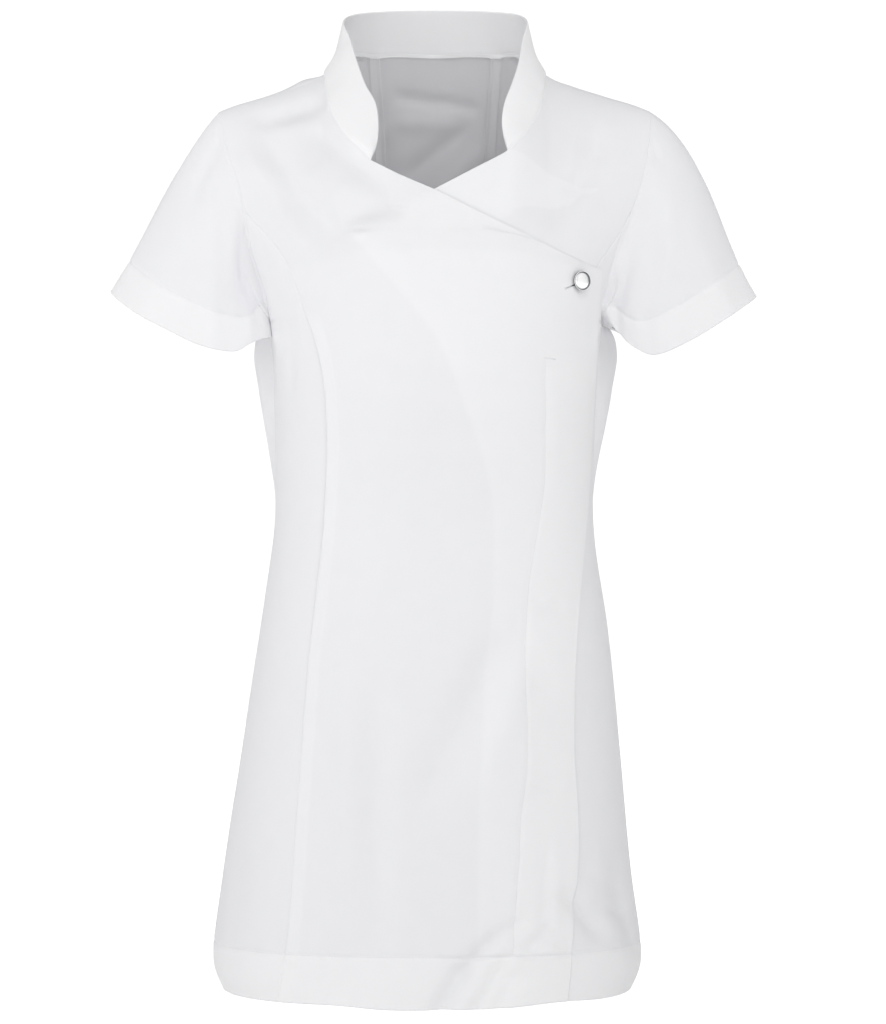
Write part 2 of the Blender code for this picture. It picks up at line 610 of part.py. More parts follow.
# ================================================================ armholes and sleeves
class Armhole:
    """The seam between body and sleeve: its points, from the shoulder down the front and up the back."""

    def __init__(self, side):
        self.side = side
        self.sign = -1.0 if side == "right" else 1.0
        self.front = ARMHOLE_FRONT_RIGHT if side == "right" else ARMHOLE_FRONT_LEFT
        self.back = mirrored(ARMHOLE_BACK) if side == "right" else ARMHOLE_BACK
        front_levels = rows_between(ARMPIT_LEVEL, 0.0)[::-1]
        back_levels = rows_between(ARMPIT_LEVEL, 0.0, BACK_ROWS)[1:-1]
        front_angles = side_limit(front_levels, self.front, self.sign)
        back_angles = side_limit(back_levels, self.back, self.sign, back=True)
        self.half = len(front_levels)
        angles = np.concatenate([front_angles, back_angles])
        self.levels = np.concatenate([front_levels, back_levels])
        self.points, self.body_normals = skin(angles, self.levels)
        self.hem = self.hem_points()
        self.starts, self.sleeve_normals = self.first_directions()
        self.normals = unit(self.body_normals + self.sleeve_normals)

    def shares(self, line):
        """Distances along a line as shares of its length."""
        steps = np.linalg.norm(np.diff(line, axis=0), axis=1)
        along = np.concatenate([[0.0], np.cumsum(steps)])
        return along / along[-1]

    def hem_points(self):
        """Points round the sleeve's hem that match those round the armhole, half by half."""
        table = SLEEVE_HEM_RIGHT if self.side == "right" else SLEEVE_HEM_LEFT
        marks = np.array([[self.sign * p.out, p.y, p.z] for p in table])
        looped = np.concatenate([marks[-2:], marks, marks[:3]])
        curves = [through(np.arange(-2, len(marks) + 3), looped[:, k]) for k in range(3)]
        ring = np.concatenate([self.points, self.points[:1]])
        made = []
        for first, last, start, end in (
            (0, self.half - 1, 0, INNER_HEM_POINT),
            (self.half - 1, len(ring) - 1, INNER_HEM_POINT, len(marks)),
        ):
            fine = np.linspace(start, end, SLEEVE_CURVE_STEPS)
            line = np.stack([curve(fine) for curve in curves], axis=-1)
            at = np.interp(self.shares(ring[first : last + 1]), self.shares(line), fine)
            made.append(np.stack([curve(at) for curve in curves], axis=-1)[:-1])
        return np.concatenate(made)

    def first_directions(self):
        """How each thread of the sleeve leaves the armhole, and the sleeve's normal there."""
        down = SLEEVE_DIRECTION * np.array([self.sign, 1.0, 1.0])
        spokes = self.points - self.points.mean(axis=0)
        radial = unit(spokes - (spokes @ down)[:, None] * down)
        away = radial @ (SLEEVE_OUTWARD * np.array([self.sign, 1.0, 1.0]))
        swell = SLEEVE_FLARE[self.side] * smooth_step(away + SLEEVE_FLARE_START)
        starts = unit(down + swell[:, None] * radial)
        round_it = np.roll(self.points, -1, axis=0) - np.roll(self.points, 1, axis=0)
        normals = unit(np.cross(starts, round_it)) * self.sign
        facing = np.sign((normals * radial).sum(axis=1))
        return starts, normals * facing[:, None]

    def sleeve_grid(self):
        """Rows from the armhole to the hem, each thread a smooth curve between its two ends."""
        down = SLEEVE_DIRECTION * np.array([self.sign, 1.0, 1.0])
        reach = np.linalg.norm(self.hem - self.points, axis=1)[:, None]
        rows = []
        for t in SLEEVE_ROWS:
            start = (1 + 2 * t) * (1 - t) ** 2 * self.points + t * (1 - t) ** 2 * reach * self.starts
            end = t**2 * (3 - 2 * t) * self.hem - t**2 * (1 - t) * reach * down
            rows.append(start + end)
        return np.array(rows)


def grid_normals(points, outward_from, ring):
    """Normals of a grid from its own neighbours, turned away from a line of inner points."""
    if ring:
        across = np.roll(points, -1, axis=1) - np.roll(points, 1, axis=1)
    else:
        across = np.gradient(points, axis=1)
    normals = unit(np.cross(across, np.gradient(points, axis=0)))
    facing = np.sign((normals * (points - outward_from)).sum(axis=-1))
    return normals * facing[..., None]


def make_sleeve(armhole, finish):
    points = armhole.sleeve_grid()
    centres = points.mean(axis=1, keepdims=True)
    normals = grid_normals(points, centres, ring=True)
    normals[0] = armhole.normals
    thickness = np.full(points.shape[:2], CLOTH)
    thickness[SLEEVE_HEM_ROW:] = HEM_CLOTH
    wall(f"sleeve_{armhole.side}", points, normals, thickness, finish, ring=True)


# ================================================================ body panels
def make_panel(name, left, right, levels, columns, finish, lift=None, edges=()):
    """One panel of the body.

    edges are (column, normals by level), or ("top", normals), where it meets a sleeve or the collar.
    """
    angles, rows = lattice(left, right, levels, columns)
    points, normals = skin(angles, rows, 0.0 if lift is None else lift(angles, rows))
    if levels[-1] == 0.0:
        normals[-1, :, 1] = 0.0
        normals[-1] = unit(normals[-1])
    for place, seam in edges:
        if place == "top":
            normals[-1] = seam
            continue
        for j, level in enumerate(levels):
            if round(level, 6) in seam:
                normals[j, place] = seam[round(level, 6)]
    wall(name, points, normals, hem_thickness(rows), finish)


def seam_normals(armhole, back=False, above=-1.0):
    """The shared normals of an armhole, by level, on its front or its back."""
    half = armhole.half
    chosen = list(range(half - 1, len(armhole.levels))) + [0] if back else list(range(half))
    chosen = [k for k in chosen if armhole.levels[k] > above]
    return {round(armhole.levels[k], 6): armhole.normals[k] for k in chosen}


def front_limits(armholes, levels):
    """The left and right limits of the two centre fronts, on every level: (wrap, front under it)."""
    neck_right = mirrored(NECKLINE)
    wrap = (
        piecewise(levels, (PRINCESS_TOP, PRINCESS_RIGHT), (0.0, armholes["right"].front)),
        piecewise(levels, (WRAP_CORNER, WRAP_EDGE), (COLLAR_END_RIGHT, WRAP_NECKLINE), (0.0, neck_right)),
    )
    under = (
        piecewise(levels, (UNDER_CORNER, UNDER_EDGE), (COLLAR_END_LEFT, UNDER_NECKLINE), (0.0, NECKLINE)),
        piecewise(levels, (PRINCESS_TOP, PRINCESS_LEFT), (0.0, armholes["left"].front)),
    )
    return wrap, under


def back_side_limit(levels):
    """The wearer's left back seam up to the neckline, then the neckline up to the shoulder seam."""
    seam = seam_angles(BACK_SEAM, levels, back=True)
    neck_x = through([p.level for p in BACK_NECKLINE], [p.x for p in BACK_NECKLINE])(levels)
    neck = 180 - np.degrees(np.arcsin((neck_x - centre_x(levels)) / half_width(levels)))
    neck_right = 180 - np.degrees(np.arcsin((neck_x + centre_x(levels)) / half_width(levels)))
    seam_right = 360 - seam_angles(mirrored(BACK_SEAM), levels, back=True) % 360
    beside_neck = levels >= NECK_BACK_LEVEL - 1e-6
    return np.where(beside_neck, neck, seam), -np.where(beside_neck, neck_right, seam_right)


def make_body(armholes, neck, finish):
    right, left = armholes["right"], armholes["left"]
    front_rows = rows_between(HEM_LEVEL, 0.0)
    to_princess = rows_between(HEM_LEVEL, PRINCESS_TOP)
    back_rows = rows_between(HEM_LEVEL, 0.0, BACK_ROWS)
    to_neck = rows_between(HEM_LEVEL, NECK_BACK_LEVEL, BACK_ROWS)
    wrap, under = front_limits(armholes, front_rows)

    make_panel(
        "front_side_right",
        side_limit(to_princess, right.front, -1),
        seam_angles(PRINCESS_RIGHT, to_princess),
        to_princess,
        FRONT_SIDE_COLUMNS,
        finish,
        edges=[(0, seam_normals(right))],
    )
    make_panel(
        "front_side_left",
        seam_angles(PRINCESS_LEFT, to_princess),
        side_limit(to_princess, left.front, 1),
        to_princess,
        FRONT_SIDE_COLUMNS,
        finish,
        edges=[(-1, seam_normals(left))],
    )
    make_panel(
        "front_wrap",
        *wrap,
        front_rows,
        WRAP_COLUMNS,
        finish,
        lift=wrap_lift,
        edges=[(0, seam_normals(right, above=PRINCESS_TOP)), (-1, neck["front_right"])],
    )
    make_panel(
        "front_under",
        *under,
        front_rows,
        UNDER_COLUMNS,
        finish,
        lift=under_drop,
        edges=[(-1, seam_normals(left, above=PRINCESS_TOP)), (0, neck["front_left"])],
    )
    back_left, back_right = back_side_limit(back_rows)
    make_panel(
        "back_side_left",
        side_limit(back_rows, left.back, 1, back=True),
        back_left,
        back_rows,
        BACK_SIDE_COLUMNS,
        finish,
        edges=[(0, seam_normals(left, back=True)), (-1, neck["back_left"])],
    )
    make_panel(
        "back_side_right",
        back_right,
        side_limit(back_rows, right.back, -1, back=True),
        back_rows,
        BACK_SIDE_COLUMNS,
        finish,
        edges=[(-1, seam_normals(right, back=True)), (0, neck["back_right"])],
    )
    seam_left, seam_right = back_side_limit(to_neck)
    make_panel(
        "back_centre",
        seam_left,
        seam_right + 360,
        to_neck,
        BACK_COLUMNS,
        finish,
        edges=[("top", neck["back_centre"])],
    )


# ================================================================ collar
class Neckline:
    """The seam between body and collar, from the wrap's end over the wearer's right shoulder and round."""

    def __init__(self, armholes):
        front = rows_between(COLLAR_END_RIGHT, 0.0)
        wrap, _ = front_limits(armholes, front)
        self.parts = {"front_right": (wrap[1], front)}
        beside = rows_between(NECK_BACK_LEVEL, 0.0, BACK_ROWS)[::-1][1:]
        _, back_right = back_side_limit(beside)
        self.parts["back_right"] = (back_right, beside)
        seam_left, seam_right = back_side_limit(np.array([NECK_BACK_LEVEL]))
        share = np.linspace(0.0, 1.0, BACK_COLUMNS)[::-1][1:-1]
        across = seam_left + (seam_right + 360 - seam_left) * share
        self.parts["back_centre"] = (across, np.full(len(across), NECK_BACK_LEVEL))
        beside = beside[::-1]
        back_left, _ = back_side_limit(beside)
        self.parts["back_left"] = (back_left, beside)
        front = rows_between(COLLAR_END_LEFT, 0.0)[::-1]
        _, under = front_limits(armholes, front)
        self.parts["front_left"] = (under[0], front)
        points, normals, self.levels, self.names = [], [], [], []
        for name, (angles, levels) in self.parts.items():
            lift = wrap_lift(angles, levels) if name == "front_right" else 0.0
            at, facing = skin(angles, levels, lift)
            points.append(at)
            normals.append(facing)
            self.levels += [round(level, 6) for level in levels]
            self.names += [name] * len(levels)
        self.points = np.concatenate(points)
        self.grid = self.collar_grid()
        own = grid_normals(self.grid, np.array([0.0, 0.0, 0.0]), ring=False)
        own[:, :2] = own[:, 2:3]
        own[:, -2:] = own[:, -3:-2]
        self.normals = unit(own[0] + np.concatenate(normals))
        self.collar_normals = own
        self.collar_normals[0] = self.normals

    def collar_grid(self):
        """Rows from the neckline to the free edge. The edge's table is met at even shares of its length."""
        right = list(COLLAR_END_TOPS["right"]) + [(p.right, p.y, p.z) for p in COLLAR_TOP]
        left = list(COLLAR_END_TOPS["left"]) + [(p.left, p.y, p.z) for p in COLLAR_TOP]
        edge = np.array(right + left[::-1][1:], float)
        steps = np.concatenate([[0.0], np.cumsum(np.linalg.norm(np.diff(edge, axis=0), axis=1))])
        curves = [through(steps, edge[:, k]) for k in range(3)]
        base = np.concatenate([[0.0], np.cumsum(np.linalg.norm(np.diff(self.points, axis=0), axis=1))])
        at = base / base[-1] * steps[-1]
        top = np.stack([curve(at) for curve in curves], axis=-1)
        along = unit(np.gradient(self.points, axis=0))
        bow = unit(np.cross(along, top - self.points))
        bow *= np.sign((bow * self.points).sum(axis=1))[:, None]
        rows = []
        for t in np.linspace(0.0, 1.0, COLLAR_STEPS + 1):
            rows.append(self.points * (1 - t) + top * t + bow * COLLAR_BOW * 4 * t * (1 - t))
        grid = np.array(rows)
        grid[:, 0] += unit(grid[:, 1] - grid[:, 0]) * COLLAR_END_GAP
        grid[:, -1] += unit(grid[:, -2] - grid[:, -1]) * COLLAR_END_GAP
        return grid

    def by_level(self):
        """The shared normals of each part of the neckline, by level; the back centre's from left to right."""
        found = {name: {} for name in self.parts}
        for name, level, normal in zip(self.names, self.levels, self.normals):
            found[name][level] = normal
        found["front_left"][0.0] = found["back_left"][0.0] = self.normals[self.names.index("front_left")]
        found["back_right"][0.0] = found["front_right"][0.0]
        across = [n for n, name in zip(self.normals, self.names) if name == "back_centre"][::-1]
        corner = round(NECK_BACK_LEVEL, 6)
        found["back_centre"] = [found["back_left"][corner]] + across + [found["back_right"][corner]]
        return found


def make_collar(neckline, finish):
    wall("collar", neckline.grid, neckline.collar_normals, COLLAR_CLOTH, finish)


# ================================================================ button
ButtonRing = namedtuple("ButtonRing", "radius height")
BUTTON_PROFILE = [
    ButtonRing(0.0000, 0.0010),
    ButtonRing(0.0022, 0.0010),
    ButtonRing(0.0022, 0.0030),
    ButtonRing(0.0070, 0.0030),
    ButtonRing(0.0083, 0.0034),
    ButtonRing(0.0085, 0.0042),
    ButtonRing(0.0080, 0.0049),
    ButtonRing(0.0060, 0.0057),
    ButtonRing(0.0035, 0.0062),
    ButtonRing(0.0000, 0.0064),
]
BUTTON_SIDES = 24


def make_button(finish):
    """A domed metal button on a short shank, tilted a little from the cloth towards the front."""
    level = BUTTON_HEIGHT
    for _ in range(12):
        level += BUTTON_HEIGHT - height_of(level, BUTTON_X)
    angle = np.degrees(np.arcsin((BUTTON_X - centre_x(level)) / half_width(level)))
    seat, out = skin(angle, level, wrap_lift(angle, level))
    seat, out = Vector(seat), Vector(out).normalized()
    out = out.lerp(Vector((0.0, -1.0, 0.0)), BUTTON_FACING).normalized()
    side = out.orthogonal().normalized()
    other = out.cross(side)
    mesh = bmesh.new()
    rings = []
    for radius, height in BUTTON_PROFILE:
        if radius == 0.0:
            rings.append([mesh.verts.new(seat + out * height)])
            continue
        turns = np.linspace(0.0, 2 * np.pi, BUTTON_SIDES, endpoint=False)
        spokes = [side * np.cos(turn) + other * np.sin(turn) for turn in turns]
        rings.append([mesh.verts.new(seat + out * height + spoke * radius) for spoke in spokes])
    for lower, upper in zip(rings, rings[1:]):
        for i in range(BUTTON_SIDES):
            k = (i + 1) % BUTTON_SIDES
            if len(lower) == 1:
                mesh.faces.new([lower[0], upper[i], upper[k]])
            elif len(upper) == 1:
                mesh.faces.new([lower[i], lower[k], upper[0]])
            else:
                mesh.faces.new([lower[i], lower[k], upper[k], upper[i]])
    bmesh.ops.recalc_face_normals(mesh, faces=mesh.faces)
    made = bpy.data.meshes.new("button")
    mesh.to_mesh(made)
    mesh.free()
    link("button", made, finish)


def main():
    for old in list(bpy.data.objects):
        bpy.data.objects.remove(old)
    cloth = material("white cloth", WHITE_CLOTH, 0.75, 0.0)
    metal = material("polished metal", SILVER, 0.15, 1.0)
    armholes = {side: Armhole(side) for side in ("right", "left")}
    neckline = Neckline(armholes)
    make_body(armholes, neckline.by_level(), cloth)
    for armhole in armholes.values():
        make_sleeve(armhole, cloth)
    make_collar(neckline, cloth)
    make_button(metal)


main()
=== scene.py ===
# %% [markdown]
# # A white wrap-front work tunic
#
# This lesson dresses a plain model of a salon tunic in real cloth. The tunic is cut from ten pieces of
# smooth white twill and closed by one metal button. It is shown filled out, as on a figure that isn't there.
# The plain model is loaded first. It fixes where every seam runs, and nothing below moves it.

# %% Load the plain model
from collections import namedtuple

import bpy
import numpy as np
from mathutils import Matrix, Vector


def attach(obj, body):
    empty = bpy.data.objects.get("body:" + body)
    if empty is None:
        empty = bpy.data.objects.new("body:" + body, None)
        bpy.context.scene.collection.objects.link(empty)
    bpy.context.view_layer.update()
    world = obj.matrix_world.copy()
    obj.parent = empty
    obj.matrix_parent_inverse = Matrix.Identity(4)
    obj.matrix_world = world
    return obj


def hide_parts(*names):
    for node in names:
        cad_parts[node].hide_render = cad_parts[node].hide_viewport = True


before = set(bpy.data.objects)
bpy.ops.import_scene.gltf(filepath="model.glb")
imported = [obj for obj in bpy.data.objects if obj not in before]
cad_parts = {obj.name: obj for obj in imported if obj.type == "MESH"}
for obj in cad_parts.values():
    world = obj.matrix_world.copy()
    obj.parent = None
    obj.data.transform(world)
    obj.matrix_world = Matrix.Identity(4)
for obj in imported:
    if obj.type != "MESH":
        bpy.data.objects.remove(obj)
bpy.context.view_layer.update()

# %% [markdown]
# ## The camera
#
# The tunic was photographed straight on, from far enough away that it hardly narrows towards the top.
# A long lens at 3.5 m does the same. The frame is upright, so the lens is set against the frame's height.

# %% Place the camera
CAMERA_PLACE = (0.0073, -3.5, -0.397)
CAMERA_LENS = 135.4

camera = bpy.data.objects.new("camera", bpy.data.cameras.new("camera"))
camera.location = CAMERA_PLACE
camera.rotation_euler = (np.radians(90), 0.0, 0.0)
camera.data.sensor_fit = "VERTICAL"
camera.data.sensor_height = 36.0
camera.data.lens = CAMERA_LENS
bpy.context.scene.collection.objects.link(camera)
bpy.context.scene.camera = camera

# %% [markdown]
# ## Curves through short tables
#
# A pattern cutter draws a seam by marking a few points and joining them with a flexible ruler. The same is
# done here: each table has a row for each mark, and `through` is the ruler.

# %% Curves through tables
def through(knots, values):
    """A smooth function through a table's rows: cubic pieces that share the slope at each row."""
    knots, values = np.asarray(knots, float), np.asarray(values, float)
    slopes = np.gradient(values, knots)

    def at(place):
        place = np.clip(place, knots[0], knots[-1])
        i = np.clip(np.searchsorted(knots, place) - 1, 0, len(knots) - 2)
        width = knots[i + 1] - knots[i]
        t = (place - knots[i]) / width
        start = (1 + 2 * t) * (1 - t) ** 2 * values[i] + t * (1 - t) ** 2 * width * slopes[i]
        end = t**2 * (3 - 2 * t) * values[i + 1] - t**2 * (1 - t) * width * slopes[i + 1]
        return start + end

    return at


def column(table, name, key):
    """The named column of a table as a smooth function of its key column."""
    return through([getattr(row, key) for row in table], [getattr(row, name) for row in table])


def smooth_step(t):
    t = np.clip(t, 0.0, 1.0)
    return t * t * (3 - 2 * t)


def unit(vectors):
    return vectors / np.maximum(np.linalg.norm(vectors, axis=-1, keepdims=True), 1e-12)


# %% [markdown]
# ## The figure that fills the tunic
#
# The cloth is stretched over one smooth skin. A place on it is an angle round the figure (0 is the centre
# front, 90 the wearer's left side) and a level, which is a height that bends to meet the shoulder seam.
# These are the plain model's own sizes, so the cloth lies on its solids. Two are finer here: the tuck
# behind each side seam reaches up into the armpit, and the wrap lies closer, because real cloth is thinner.

# %% The figure's sections
HEM_LEVEL = -0.832
ARMPIT_LEVEL = -0.226
YOKE_LEVEL = -0.24
SHOULDER_ROUND = 0.16
FRONT_SQUARE, BACK_SQUARE = 2.3, 2.2
NECK_SIDE, SHOULDER_TIP = 0.1015, 0.1965
WRAP_LIFT, WRAP_EDGE_DROP = 0.0019, 0.0003
UNDER_DROP = 0.0016

Section = namedtuple("Section", "level half_width centre_x front back")
BODY = [
    Section(-0.832, 0.1925, -0.0070, 0.150, 0.135),
    Section(-0.795, 0.1940, -0.0070, 0.149, 0.134),
    Section(-0.722, 0.1850, -0.0070, 0.145, 0.131),
    Section(-0.613, 0.1718, -0.0038, 0.138, 0.126),
    Section(-0.504, 0.1580, -0.0010, 0.126, 0.110),
    Section(-0.404, 0.1445, -0.0010, 0.118, 0.092),
    Section(-0.340, 0.1448, -0.0005, 0.127, 0.096),
    Section(-0.300, 0.1458, 0.0000, 0.134, 0.101),
    Section(-0.250, 0.1485, 0.0005, 0.137, 0.107),
    Section(-0.226, 0.1515, 0.0005, 0.134, 0.110),
    Section(-0.180, 0.1640, 0.0005, 0.122, 0.114),
    Section(-0.120, 0.1900, 0.0005, 0.100, 0.116),
    Section(-0.060, 0.2120, 0.0005, 0.080, 0.110),
    Section(0.000, 0.2250, 0.0005, 0.062, 0.100),
]
ShoulderLine = namedtuple("ShoulderLine", "x height back_start")
SHOULDER = [
    ShoulderLine(0.0000, 0.0335, 0.066),
    ShoulderLine(0.0500, 0.0335, 0.060),
    ShoulderLine(0.0743, 0.0290, 0.046),
    ShoulderLine(0.0880, 0.0150, 0.022),
    ShoulderLine(0.1015, 0.0000, 0.000),
    ShoulderLine(0.1110, -0.0055, 0.000),
    ShoulderLine(0.1250, -0.0108, 0.000),
    ShoulderLine(0.1550, -0.0200, 0.000),
    ShoulderLine(0.1850, -0.0290, 0.000),
    ShoulderLine(0.1965, -0.0335, 0.000),
    ShoulderLine(0.2300, -0.0480, 0.000),
]
NECK_BACK_LEVEL = -0.008
SideTuck = namedtuple("SideTuck", "level out")
SIDE_TUCK = [
    SideTuck(-0.400, 0.000),
    SideTuck(-0.360, 0.0060),
    SideTuck(-0.322, 0.0135),
    SideTuck(-0.286, 0.0190),
    SideTuck(-0.250, 0.0210),
    SideTuck(-0.241, 0.0185),
    SideTuck(-0.233, 0.0140),
    SideTuck(-0.226, 0.0080),
    SideTuck(-0.216, 0.0020),
    SideTuck(-0.205, 0.0000),
]
SIDE_TUCK_DEGREES, SIDE_TUCK_RISE = 40.0, 0.58
ShoulderRoll = namedtuple("ShoulderRoll", "x right left")
SHOULDER_ROLL = [
    ShoulderRoll(0.097, 0.000, 0.000),
    ShoulderRoll(0.117, 0.008, 0.003),
    ShoulderRoll(0.140, 0.004, 0.003),
    ShoulderRoll(0.196, 0.001, 0.001),
]
SHOULDER_ROLL_REACH = 0.035

half_width = column(BODY, "half_width", "level")
centre_x = column(BODY, "centre_x", "level")
front_depth = column(BODY, "front", "level")
back_depth = column(BODY, "back", "level")
shoulder_height = column(SHOULDER, "height", "x")
back_start = column(SHOULDER, "back_start", "x")
side_tuck = column(SIDE_TUCK, "out", "level")
roll_right = column(SHOULDER_ROLL, "right", "x")
roll_left = column(SHOULDER_ROLL, "left", "x")

# %% [markdown]
# The skin itself is a formula: squared-off ellipses below the armpit, and a quarter circle from the
# shoulder seam down into the front and the back.

# %% The skin
def height_of(level, x):
    """The height of a level at a distance from the centre line."""
    bend = np.clip((level - YOKE_LEVEL) / -YOKE_LEVEL, 0.0, None)
    return level + bend * shoulder_height(np.abs(x))


def rounding(share):
    """A quarter circle from the shoulder line (0) down to the full depth of front or back (1)."""
    return np.sqrt(1 - (1 - np.clip(share, 0.0, 1.0)) ** 2)


def base_skin(angle, level):
    """The figure without folds."""
    angle, level = np.broadcast_arrays(np.asarray(angle, float), np.asarray(level, float))
    sine = np.sin(np.radians(angle))
    x = centre_x(level) + half_width(level) * sine
    z = height_of(level, x)
    below = (shoulder_height(np.abs(x)) - z) / SHOULDER_ROUND
    roll = np.where(x < 0, roll_right(np.abs(x)), roll_left(np.abs(x)))
    edge = np.clip(np.abs(sine), 0.0, 1.0)
    rolled = rounding(roll / SHOULDER_ROUND)
    front_spread = (rounding(below + roll / SHOULDER_ROUND) - rolled) / (1 - rolled)
    front_y = -front_depth(level) * (1 - edge**FRONT_SQUARE) ** (1 / FRONT_SQUARE) * front_spread
    start = back_start(np.abs(x))
    full = back_depth(level) * (1 - edge**BACK_SQUARE) ** (1 / BACK_SQUARE)
    back_y = start + (full - start) * rounding(below)
    is_back = np.abs(angle) > 90
    over = np.sin(np.pi * np.clip((back_y - start) / SHOULDER_ROLL_REACH, 0.0, 1.0))
    z = z + np.where(is_back, roll * over, 0.0)
    return np.stack([x, np.where(is_back, back_y, front_y), z], axis=-1)


def skin_normal(angle, level):
    """The outward direction, from small steps either way."""
    turn, climb = 0.4, 0.0015
    upper = np.minimum(level + climb, -1e-5)
    across = base_skin(angle + turn, level) - base_skin(angle - turn, level)
    upwards = base_skin(angle, upper) - base_skin(angle, level - climb)
    return unit(np.cross(across, upwards))


# %% [markdown]
# ## Where the seams run
#
# A princess seam shapes the front in place of a dart: it starts in the armhole, passes the bust point and
# runs down to the hem. The tables give each seam as marks on the front or back view, in metres.

# %% The seams' marks
SeamPoint = namedtuple("SeamPoint", "height x")
ARMHOLE_FRONT_RIGHT = [
    SeamPoint(-0.2250, -0.1503),
    SeamPoint(-0.2200, -0.1497),
    SeamPoint(-0.2096, -0.1510),
    SeamPoint(-0.1635, -0.1643),
    SeamPoint(-0.1184, -0.1727),
    SeamPoint(-0.0587, -0.1905),
    SeamPoint(-0.0335, -SHOULDER_TIP),
]
ARMHOLE_FRONT_LEFT = [
    SeamPoint(-0.2250, 0.1513),
    SeamPoint(-0.2200, 0.1505),
    SeamPoint(-0.1969, 0.1541),
    SeamPoint(-0.1500, 0.1668),
    SeamPoint(-0.1168, 0.1810),
    SeamPoint(-0.0620, 0.1940),
    SeamPoint(-0.0335, SHOULDER_TIP),
]
ARMHOLE_BACK = [
    SeamPoint(-0.2250, 0.1505),
    SeamPoint(-0.2200, 0.1515),
    SeamPoint(-0.1900, 0.1590),
    SeamPoint(-0.1500, 0.1690),
    SeamPoint(-0.1000, 0.1790),
    SeamPoint(-0.0600, 0.1885),
    SeamPoint(-0.0335, SHOULDER_TIP),
]
PRINCESS_RIGHT = [
    SeamPoint(-0.8320, -0.1385),
    SeamPoint(-0.7794, -0.1306),
    SeamPoint(-0.6489, -0.1204),
    SeamPoint(-0.5268, -0.1111),
    SeamPoint(-0.4040, -0.0974),
    SeamPoint(-0.3164, -0.0944),
    SeamPoint(-0.2900, -0.0961),
    SeamPoint(-0.2460, -0.1051),
    SeamPoint(-0.2173, -0.1160),
    SeamPoint(-0.1919, -0.1253),
    SeamPoint(-0.1661, -0.1375),
    SeamPoint(-0.1284, -0.1705),
]
PRINCESS_LEFT = [
    SeamPoint(-0.8320, 0.1060),
    SeamPoint(-0.6489, 0.1090),
    SeamPoint(-0.5268, 0.1060),
    SeamPoint(-0.4040, 0.0985),
    SeamPoint(-0.3164, 0.1000),
    SeamPoint(-0.2460, 0.1120),
    SeamPoint(-0.2173, 0.1230),
    SeamPoint(-0.1811, 0.1430),
    SeamPoint(-0.1500, 0.1640),
    SeamPoint(-0.1195, 0.1802),
]
WRAP_EDGE = [
    SeamPoint(-0.8320, 0.1160),
    SeamPoint(-0.7741, 0.1201),
    SeamPoint(-0.7304, 0.1237),
    SeamPoint(-0.6955, 0.1256),
    SeamPoint(-0.6513, 0.1247),
    SeamPoint(-0.6161, 0.1222),
    SeamPoint(-0.5635, 0.1224),
    SeamPoint(-0.4754, 0.1276),
    SeamPoint(-0.4221, 0.1327),
    SeamPoint(-0.3683, 0.1373),
    SeamPoint(-0.3144, 0.1400),
    SeamPoint(-0.2606, 0.1435),
    SeamPoint(-0.2068, 0.1460),
    SeamPoint(-0.1811, 0.1478),
]
WRAP_NECKLINE = [
    SeamPoint(-0.1811, 0.1478),
    SeamPoint(-0.1714, 0.1201),
    SeamPoint(-0.1548, 0.0842),
    SeamPoint(-0.1333, 0.0399),
    SeamPoint(-0.1133, 0.0003),
    SeamPoint(-0.1011, -0.0270),
    SeamPoint(-0.0852, -0.0571),
]
UNDER_EDGE = [
    SeamPoint(-0.8320, 0.0380),
    SeamPoint(-0.6235, 0.0398),
    SeamPoint(-0.5620, 0.0433),
    SeamPoint(-0.4390, 0.0520),
    SeamPoint(-0.3777, 0.0486),
    SeamPoint(-0.3426, 0.0398),
    SeamPoint(-0.2987, 0.0240),
    SeamPoint(-0.2504, 0.0047),
    SeamPoint(-0.2135, -0.0217),
    SeamPoint(-0.1827, -0.0480),
    SeamPoint(-0.1510, -0.0743),
]
UNDER_NECKLINE = [
    SeamPoint(-0.1510, -0.0743),
    SeamPoint(-0.1115, 0.0003),
    SeamPoint(-0.0770, 0.0645),
]
NECKLINE = [  # both sides, as half widths
    SeamPoint(-0.0852, 0.0571),
    SeamPoint(-0.0770, 0.0645),
    SeamPoint(-0.0610, 0.0800),
    SeamPoint(-0.0458, 0.0892),
    SeamPoint(-0.0300, 0.0958),
    SeamPoint(-0.0167, 0.0990),
    SeamPoint(0.0000, NECK_SIDE),
]
BACK_SEAM = [  # both sides, as half widths
    SeamPoint(-0.8320, 0.1150),
    SeamPoint(-0.6200, 0.0980),
    SeamPoint(-0.4040, 0.0660),
    SeamPoint(-0.2500, 0.0660),
    SeamPoint(-0.1000, 0.0560),
    SeamPoint(0.0250, 0.0620),
]
NeckPoint = namedtuple("NeckPoint", "level x")
BACK_NECKLINE = [
    NeckPoint(NECK_BACK_LEVEL, 0.0615),
    NeckPoint(-0.0058, 0.0705),
    NeckPoint(-0.0035, 0.0790),
    NeckPoint(-0.0020, 0.0868),
    NeckPoint(-0.0010, 0.0925),
    NeckPoint(-0.0003, 0.0975),
    NeckPoint(0.0000, NECK_SIDE),
]
WRAP_CORNER, UNDER_CORNER = -0.1763, -0.1606
PRINCESS_TOP = -0.1161
COLLAR_END_RIGHT, COLLAR_END_LEFT = -0.1042, -0.0964
SEAM_ROUNDS, SEAM_STEP = 60, 0.35

# %% [markdown]
# Each seam is turned into angles on the skin, level by level. Above the armpit a height and a level differ,
# so the crossing is found in small steps.

